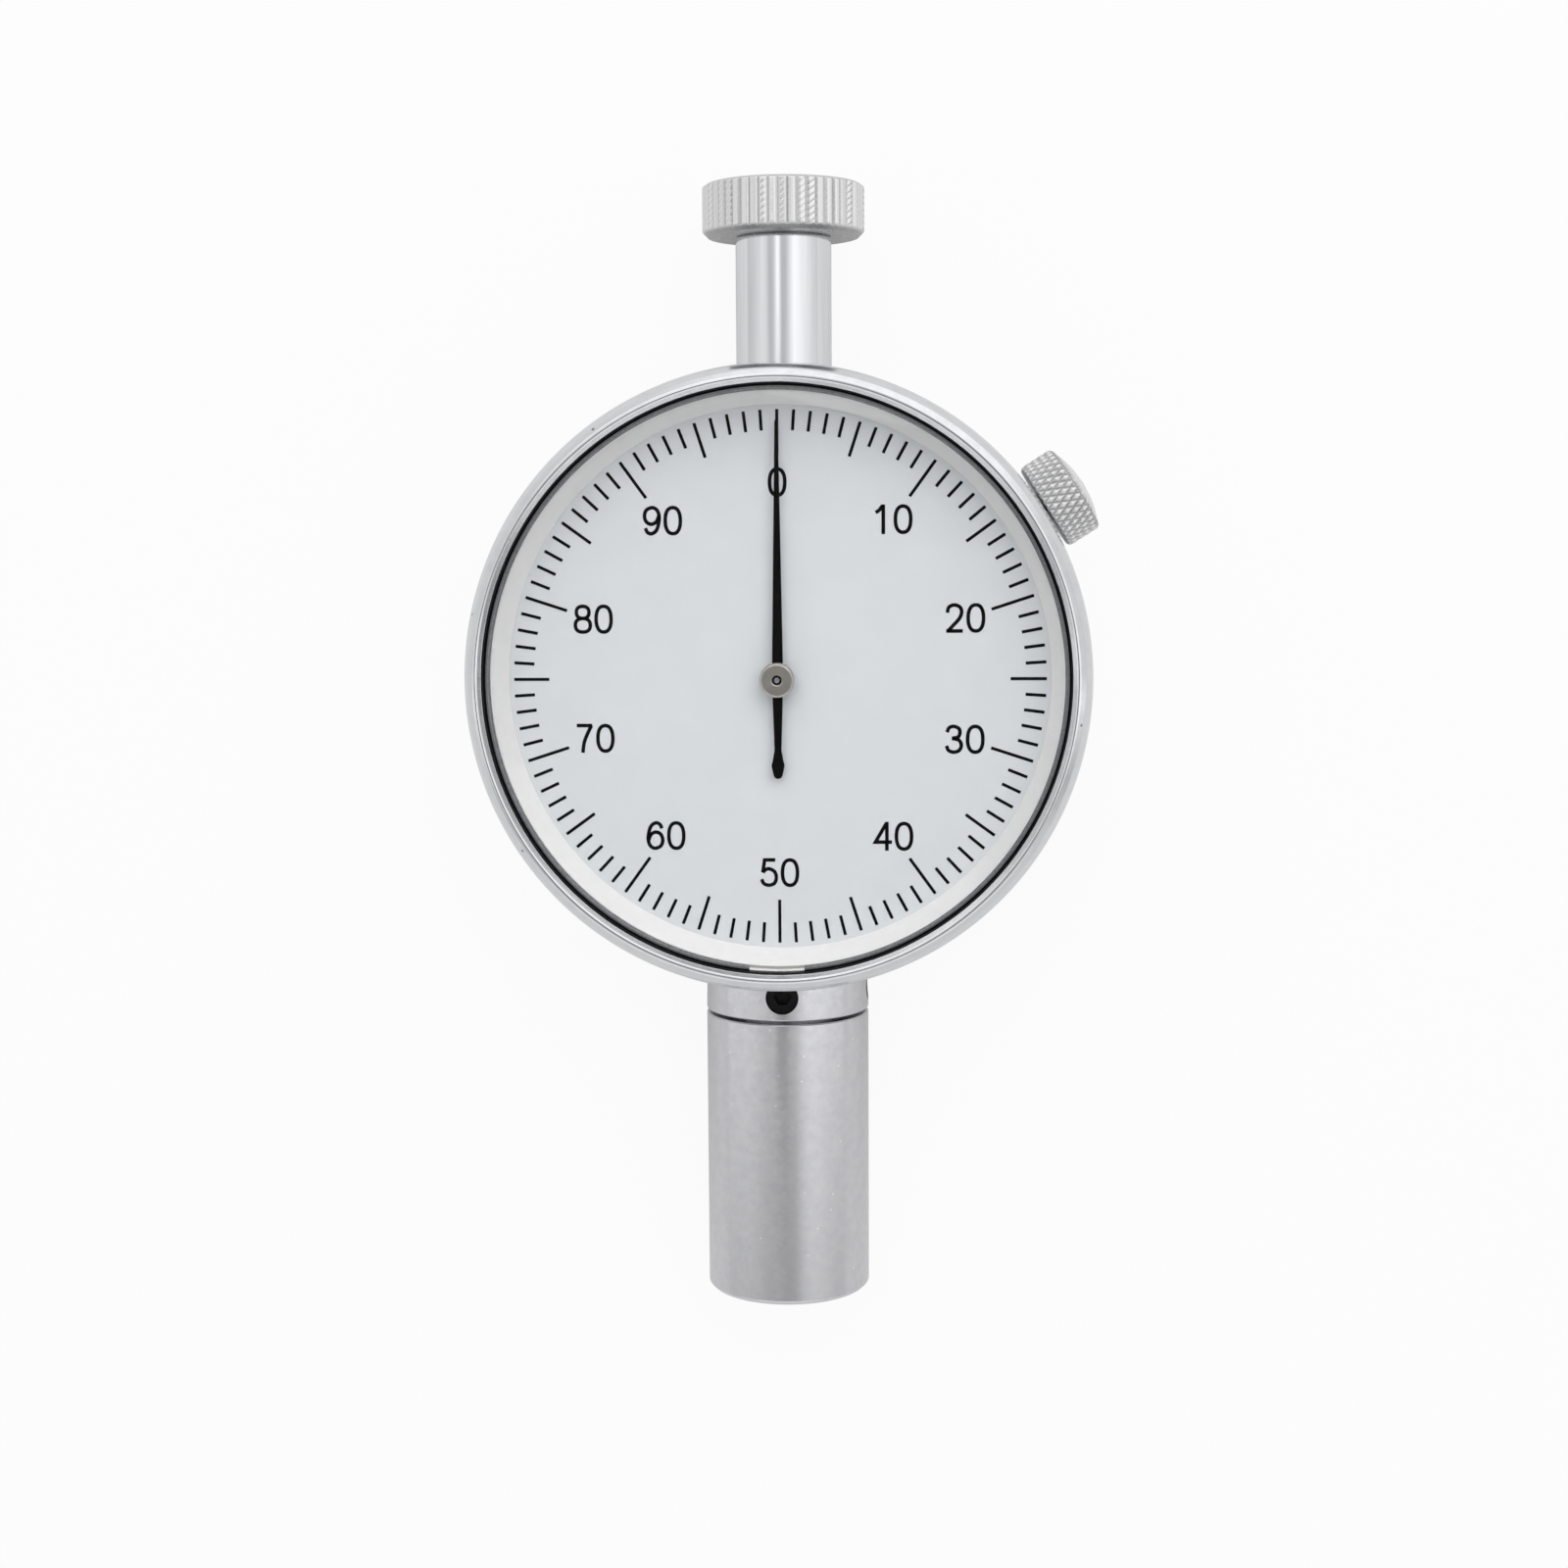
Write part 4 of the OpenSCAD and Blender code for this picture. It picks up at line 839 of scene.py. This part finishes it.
# Stem, cap and clamp knob: a polished rod, a cap with a worn straight knurl, and a diamond-knurled knob
stemShape = dict(spigotR=3.2, edge=0.2, steps=192, rounds=[0.2, 0.02, 0.05, 0.15, 0.05, 0.02, 0.2])
# In both knurls below, the groove and under shares are painted shade: how much grey darkens the grooves and
# the underside
capShape = dict(
    boreR=3.23, boreDeep=1.3, chamfer=0.6, chamferRows=8, rows=56, brimRows=6, brimTall=0.5, brimIn=0.5,
    brimDrop=0.15, faceIn=2.0, underRounds=[0.1, 0.1], faceRounds=[0.5, 4.0], samples=14, knurls=52,
    knurlDeep=0.22, crestGain=1.6, wornSeed=11, wornMost=0.35, leanMost=0.14, raggedEnds=(-0.4, 0.9),
    raggedMost=0.7, nickPitch=0.62, nickSlant=1.2, nickSharp=4.0, grooveShade=0.5, underShade=0.75,
    shelterTall=0.3)
knobShape = dict(
    tip=27.4, tipR=1.3, tipTall=0.2, shankR=1.5, neckR=1.6, neckTall=0.02, gap=0.3, tall=4.5, head=4.499,
    edge=0.3, edgeRows=6, rows=60, brimDrop=0.2, brimRise=0.1, dome=1.0, domeDrop=0.25, domeRounds=[6.0],
    samples=12, knurls=38, knurlDeep=0.2, knurlPitch=0.75, crestGain=1.3, grooveShade=0.85, underShade=0.8,
    shelterTall=0.1)


# A rod with a spigot at each end, into the case and into the cap
def makeStem(s):
    capY = boxMm("top_cap")[0][1]
    places = [(0, stemLow[1]), (s["spigotR"], stemLow[1]), (s["spigotR"], stemSeat), (stemR, stemSeat),
              (stemR, capY - s["edge"]), (stemR - s["edge"], capY), (s["spigotR"], capY),
              (s["spigotR"], stemHigh[1]), (0, stemHigh[1])]
    piece = lathed("stemRod", places, s, stemAxis, False)
    fitPiece(piece, polishedChrome, "case", "polished_chrome", "upper_stem")


# Straight knurl: the tooth wave rises and falls once a ridge and is cut flat on top, each ridge worn by its
# own share; slanting nicks, a pitch apart up the ridge, break some of the ridges as a blunt wheel does
def capKnurl(s, radius):
    draw = np.random.default_rng(s["wornSeed"])
    worn = draw.uniform(0.0, s["wornMost"], s["knurls"])
    lean = draw.uniform(-s["leanMost"], s["leanMost"], s["knurls"])
    ragged = np.clip(draw.uniform(*s["raggedEnds"], s["knurls"]), 0, s["raggedMost"])
    phase = draw.uniform(0, 1, s["knurls"])

    def limit(angle, height):
        place = angle / fullTurn * s["knurls"]
        ridge = np.floor(place).astype(int) % s["knurls"]
        across = place % 1
        wave = 1 - np.abs(2 * across - 1 + lean[ridge] * np.sin(np.pi * across))
        rise = (height / s["nickPitch"] + s["nickSlant"] * across + phase[ridge]) % 1
        nick = np.clip(1 - s["nickSharp"] * np.abs(rise - 0.5), 0, 1)
        crest = np.clip(s["crestGain"] * wave, 0, 1 - worn[ridge]) * (1 - ragged[ridge] * nick)
        return radius - s["knurlDeep"] * (1 - crest)

    return limit


# Diamond knurl: two helical tooth waves cross, and the lower of the two is what both tools leave
def knobKnurl(s, radius):
    def limit(angle, height):
        place = angle / fullTurn * s["knurls"]
        rise = height / (2 * s["knurlPitch"])
        one = 1 - np.abs(2 * ((place + rise) % 1) - 1)
        two = 1 - np.abs(2 * ((place - rise) % 1) - 1)
        return radius - s["knurlDeep"] * (1 - np.clip(s["crestGain"] * np.minimum(one, two), 0, 1))

    return limit


# Points of a straight flank between two places, for a knurl to follow: start + share * (end - start)
def flank(start, end, rows):
    return np.array(start) + np.linspace(0, 1, rows)[:, None] * (np.array(end) - np.array(start))


# How much painted shade each point carries: its depth under the full radius, as a share of the knurl's
# depth, times the painted shade in a groove, and a set painted shade on the sheltered face below a height
def filmShare(surface, axis, radius, s, shelterHeight, reach=1.5):
    away = surface[0] - axis[0]
    height = away @ axis[3]
    away = np.linalg.norm(away - height[:, None] * axis[3], axis=1)
    knurled = away > radius - reach * s["knurlDeep"]
    groove = np.clip((radius - away) / s["knurlDeep"], 0, 1) * knurled
    return np.where(height < shelterHeight, s["underShade"], groove * s["grooveShade"])


# A profile turned with a knurl on it, carrying its painted shade
def knurledPiece(name, profile, axis, radius, s, limit, base, sharpDeg=70):
    surface = turned(profile, axis, s["knurls"] * s["samples"], False, limit)
    paintedShade = filmShare(surface, axis, radius, s, base + s["shelterTall"])
    return meshPiece(name, surface, sharpDeg, {"paintedShade": paintedShade})


# The section runs out of the bore, along the underside, up the knurled side and in over the face
def makeCap(s):
    low, high = boxMm("top_cap")
    radius, base, top = high[0], low[1], high[1]
    boreTop = top - s["boreDeep"]
    under = roundedProfile([(s["boreR"], boreTop), (s["boreR"], base), (radius - s["chamfer"], base),
                            (radius, base + s["chamfer"])], s["underRounds"], False)
    face = roundedProfile([(radius, top - s["brimTall"]), (radius - s["brimIn"], top - s["brimDrop"]),
                           (radius - s["faceIn"], top), (0, top)], s["faceRounds"], False)
    side = flank(under[-1], face[0], s["rows"])
    lower = flank(under[-2], under[-1], s["chamferRows"])
    upper = flank(face[0], face[1], s["brimRows"])
    profile = np.concatenate([[(0, boreTop)], under[:-1], lower[1:-1], side, upper[1:-1], face[1:]])
    piece = knurledPiece("knurledCap", profile, stemAxis, radius, s, capKnurl(s, radius), base)
    fitPiece(piece, knurledNickel, "case", "knurled_nickel", "top_cap")


# The section runs from the shank's tip, out under the head, up its knurled side and in over a low dome
def makeKnob(s):
    radius, tip = s["head"], s["tip"]
    base = bezelR + s["gap"]
    end = base + s["tall"]
    brim = end - s["dome"]
    edgeR = radius - s["edge"]
    shank = [(0, tip), (s["tipR"], tip), (s["shankR"], tip + s["tipTall"]),
             (s["shankR"], base - s["neckTall"]), (s["neckR"], base), (edgeR, base)]
    stops = [(edgeR, base), (radius, base + s["edge"]), (radius, brim - s["brimDrop"]),
             (edgeR, brim + s["brimRise"])]
    rows = [s["edgeRows"], s["rows"], s["edgeRows"]]
    sides = [flank(start, stop, count)[1:] for start, stop, count in zip(stops, stops[1:], rows)]
    dome = roundedProfile([stops[-1], (radius / 2, end - s["domeDrop"]), (0, end)], s["domeRounds"], False)
    profile = np.concatenate([shank, *sides, dome[1:]])
    piece = knurledPiece("clampKnob", profile, clampAxis, radius, s, knobKnurl(s, radius), base)
    fitPiece(piece, knurledNickel, "clamp_screw", "knurled_nickel", "clamp_screw")


makeStem(stemShape)
makeCap(capShape)
makeKnob(knobShape)

# Movement: the CAD pieces inside keep their shape and get their metals
keptFinishes = {
    groundSteel: ["back_cover_screws", "bridge_screws", "spring_adjuster", "spindle", "spindle_guide_pin",
                  "idler_arbor", "takeup_arbor", "centre_arbor"],
    movementBrass: ["foot_guide_bush", "movement_bridge", "bridge_pillars", "centre_bush", "hairspring_stud",
                    "hairspring_collet", "idler_wheel", "takeup_wheel", "clamp_shoe"],
    blackOxide: ["foot_set_screws"],
    springSteel: ["hairspring"],
}
for finish, nodes in keptFinishes.items():
    for node in nodes:
        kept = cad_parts[node]
        kept.data.materials.clear()
        kept.data.materials.append(finish)
print("movement finished:", sum(len(nodes) for nodes in keptFinishes.values()), "nodes kept")

# Studio: a white floor, a tent with bands of (degrees, level), a lamp from the cap's side, and the camera
floorShape = dict(
    half=3000.0, drop=0.02, cameraShare=0.92, mirrorShare=0.2, mattHex="#d2d2d2", whiteHex="#ffffff")
tentShape = dict(
    stemBands=[(-180, 0.62), (-120, 0.62), (-86, 0.68), (-61, 0.82), (-50, 0.90), (-39, 0.88), (-30, 0.60),
               (-20, 0.70), (-10, 1.38), (-1, 0.65), (7, 0.61), (17, 0.88), (28, 1.28), (38, 1.16),
               (56, 1.04), (68, 0.92), (83, 0.80), (103, 0.72), (130, 0.64), (180, 0.62)],
    footBands=[(-180, 0.66), (-120, 0.74), (-86, 0.82), (-53, 0.82), (-38, 0.75), (-23, 0.66), (-9, 0.68),
               (4, 0.60), (14, 0.60), (23, 0.84), (32, 0.98), (45, 0.97), (60, 0.90), (80, 0.82), (100, 0.80),
               (130, 0.70), (180, 0.66)],
    footAt=-0.24, footReach=0.15, footSlope=2.6, footFrom=-0.02, footFull=-0.14, footSide=0.95, capSide=1.25,
    bandFull=0.40, bandEnd=0.75, portAcross=(-0.075, 0.14), portUp=(-0.065, 0.125), portEdge=(0.9, 1.1),
    portLevel=0.03)
lampShape = dict(place=(60.0, 250.0, 400.0), wide=600.0, deep=500.0, power=1.15)
viewShape = dict(
    elevationDeg=6.09, yawDeg=4.12, rollDeg=-0.34, distance=240.4, target=(-0.26, -11.43, 9.1), lens=53.75,
    sensor=36.0, nearMm=10.0)


# White to the eye and to mirrors; the rest of it is plain matt white, which takes the shadow
def makeFloor(s):
    plan = np.array([(-1, -1), (1, -1), (1, 1), (-1, 1)]) * s["half"]
    points = np.column_stack([plan, np.full(len(plan), -s["drop"])])
    floor = meshPiece("studioFloor", (points, np.array([(0, 1, 2, 3)])))
    material, tree, shader = newMaterial("mattWhiteSweep")
    tree.nodes.remove(shader)
    path = addNode(tree, "LightPath")
    seen = mathNode(tree, "MULTIPLY", path.outputs["Is Camera Ray"], s["cameraShare"])
    mirrored = mathNode(tree, "MAXIMUM", path.outputs["Is Glossy Ray"], path.outputs["Is Transmission Ray"])
    share = mathNode(tree, "MULTIPLY_ADD", mirrored, s["mirrorShare"], seen)
    matt = addNode(tree, "BsdfDiffuse", {"Color": hexColor(s["mattHex"])})
    white = addNode(tree, "Emission", {"Color": hexColor(s["whiteHex"]), "Strength": 1.0})
    mixed = addNode(tree, "MixShader", {0: share, 1: matt.outputs[0], 2: white.outputs[0]})
    tree.links.new(mixed.outputs[0], tree.nodes["Material Output"].inputs["Surface"])
    floor.data.materials.append(material)


# Bands by the angle round the foot's axis, fading to a slope from the foot's side to the cap's side; the tent
# has a dark port where the camera looks in, which is what the flat crystal mirrors
def makeTent(s):
    world = bpy.data.worlds.new("lightTent")
    bpy.context.scene.world = world
    world.use_nodes = True
    tree = world.node_tree
    split = addNode(tree, "SeparateXYZ", {0: addNode(tree, "TexCoord").outputs["Generated"]})
    across, along, up = (split.outputs[i] for i in range(3))
    turn = rangeNode(tree, mathNode(tree, "ARCTAN2", across, up), (-math.pi, math.pi))
    stem, foot = [
        addNode(tree, "ValToRGB", {"Fac": turn}, stops=[
            (0.5 + degrees / 360, (level, level, level, 1)) for degrees, level in s[bands]]).outputs["Color"]
        for bands in ("stemBands", "footBands")]
    reach = s["footReach"]
    shade = rangeNode(tree, along, (s["footAt"] - reach, s["footAt"] + reach),
                      (1 - reach * s["footSlope"], 1 + reach * s["footSlope"]))
    foot = mathNode(tree, "MULTIPLY", foot, shade)
    below = rangeNode(tree, along, (s["footFrom"], s["footFull"]), smooth=True)
    banding = mixNode(tree, below, stem, foot, "FLOAT")
    slope = rangeNode(tree, along, (-1.0, 1.0), (s["footSide"], s["capSide"]))
    lean = mathNode(tree, "ABSOLUTE", along)
    banded = rangeNode(tree, lean, (s["bandFull"], s["bandEnd"]), (1.0, 0.0), smooth=True)
    level = mixNode(tree, banded, slope, banding, "FLOAT")
    offsets = []
    for place, (middle, half) in ((across, s["portAcross"]), (along, s["portUp"])):
        away = mathNode(tree, "ABSOLUTE", mathNode(tree, "SUBTRACT", place, middle))
        offsets.append(mathNode(tree, "DIVIDE", away, half))
    edge = mathNode(tree, "MAXIMUM", *offsets)
    port = rangeNode(tree, edge, s["portEdge"], (s["portLevel"], 1.0), smooth=True)
    under = mathNode(tree, "LESS_THAN", up, 0.0)
    level = mathNode(tree, "MULTIPLY", level, mathNode(tree, "MAXIMUM", port, under))
    path = addNode(tree, "LightPath")
    seen = mixNode(tree, path.outputs["Is Camera Ray"], level, 1.0, "FLOAT")
    tree.links.new(seen, tree.nodes["Background"].inputs["Strength"])
    tree.nodes["Background"].inputs["Color"].default_value = (1, 1, 1, 1)


# Puts a lamp or a camera in the scene: right, up and back directions and place are its matrix's columns
def standThing(thing, right, up, back, place):
    bpy.context.scene.collection.objects.link(thing)
    turn = np.eye(4)
    turn[:3] = np.stack([right, up, back, place * mm], 1)
    thing.matrix_world = Matrix(turn.tolist())


# A wide lamp that faces the origin: back is its place over its distance, and right is level
def makeLamp(s):
    light = bpy.data.lights.new("tentLamp", "AREA")
    light.shape = "RECTANGLE"
    light.size = s["wide"] * mm
    light.size_y = s["deep"] * mm
    light.energy = s["power"]
    lamp = bpy.data.objects.new("tentLamp", light)
    lamp.visible_glossy = False  # the metals mirror the tent alone
    place = np.array(s["place"])
    back = place / np.linalg.norm(place)
    right = np.cross((0, 0, 1.0), back)
    right = right / np.linalg.norm(right)
    standThing(lamp, right, np.cross(back, right), back, place)


# Back is the direction of yaw and elevation, up is Y less its part along back, and both turn by the roll
def makeCamera(s):
    elevation, yaw, roll = (math.radians(s[key]) for key in ("elevationDeg", "yawDeg", "rollDeg"))
    back = np.array([math.sin(yaw) * math.cos(elevation), math.sin(elevation),
                     math.cos(yaw) * math.cos(elevation)])
    up = np.array([0, 1.0, 0]) - back[1] * back
    up = up / np.linalg.norm(up)
    right = np.cross(up, back)
    rolledRight = math.cos(roll) * right + math.sin(roll) * up
    rolledUp = math.cos(roll) * up - math.sin(roll) * right
    lens = bpy.data.cameras.new("photoCamera")
    lens.lens = s["lens"]
    lens.sensor_width = s["sensor"]
    lens.clip_start = s["nearMm"] * mm
    camera = bpy.data.objects.new("photoCamera", lens)
    standThing(camera, rolledRight, rolledUp, back, np.array(s["target"]) + s["distance"] * back)
    bpy.context.scene.camera = camera


makeFloor(floorShape)
makeTent(tentShape)
makeLamp(lampShape)
makeCamera(viewShape)
bpy.context.scene.view_settings.view_transform = "Standard"
print("studio made")
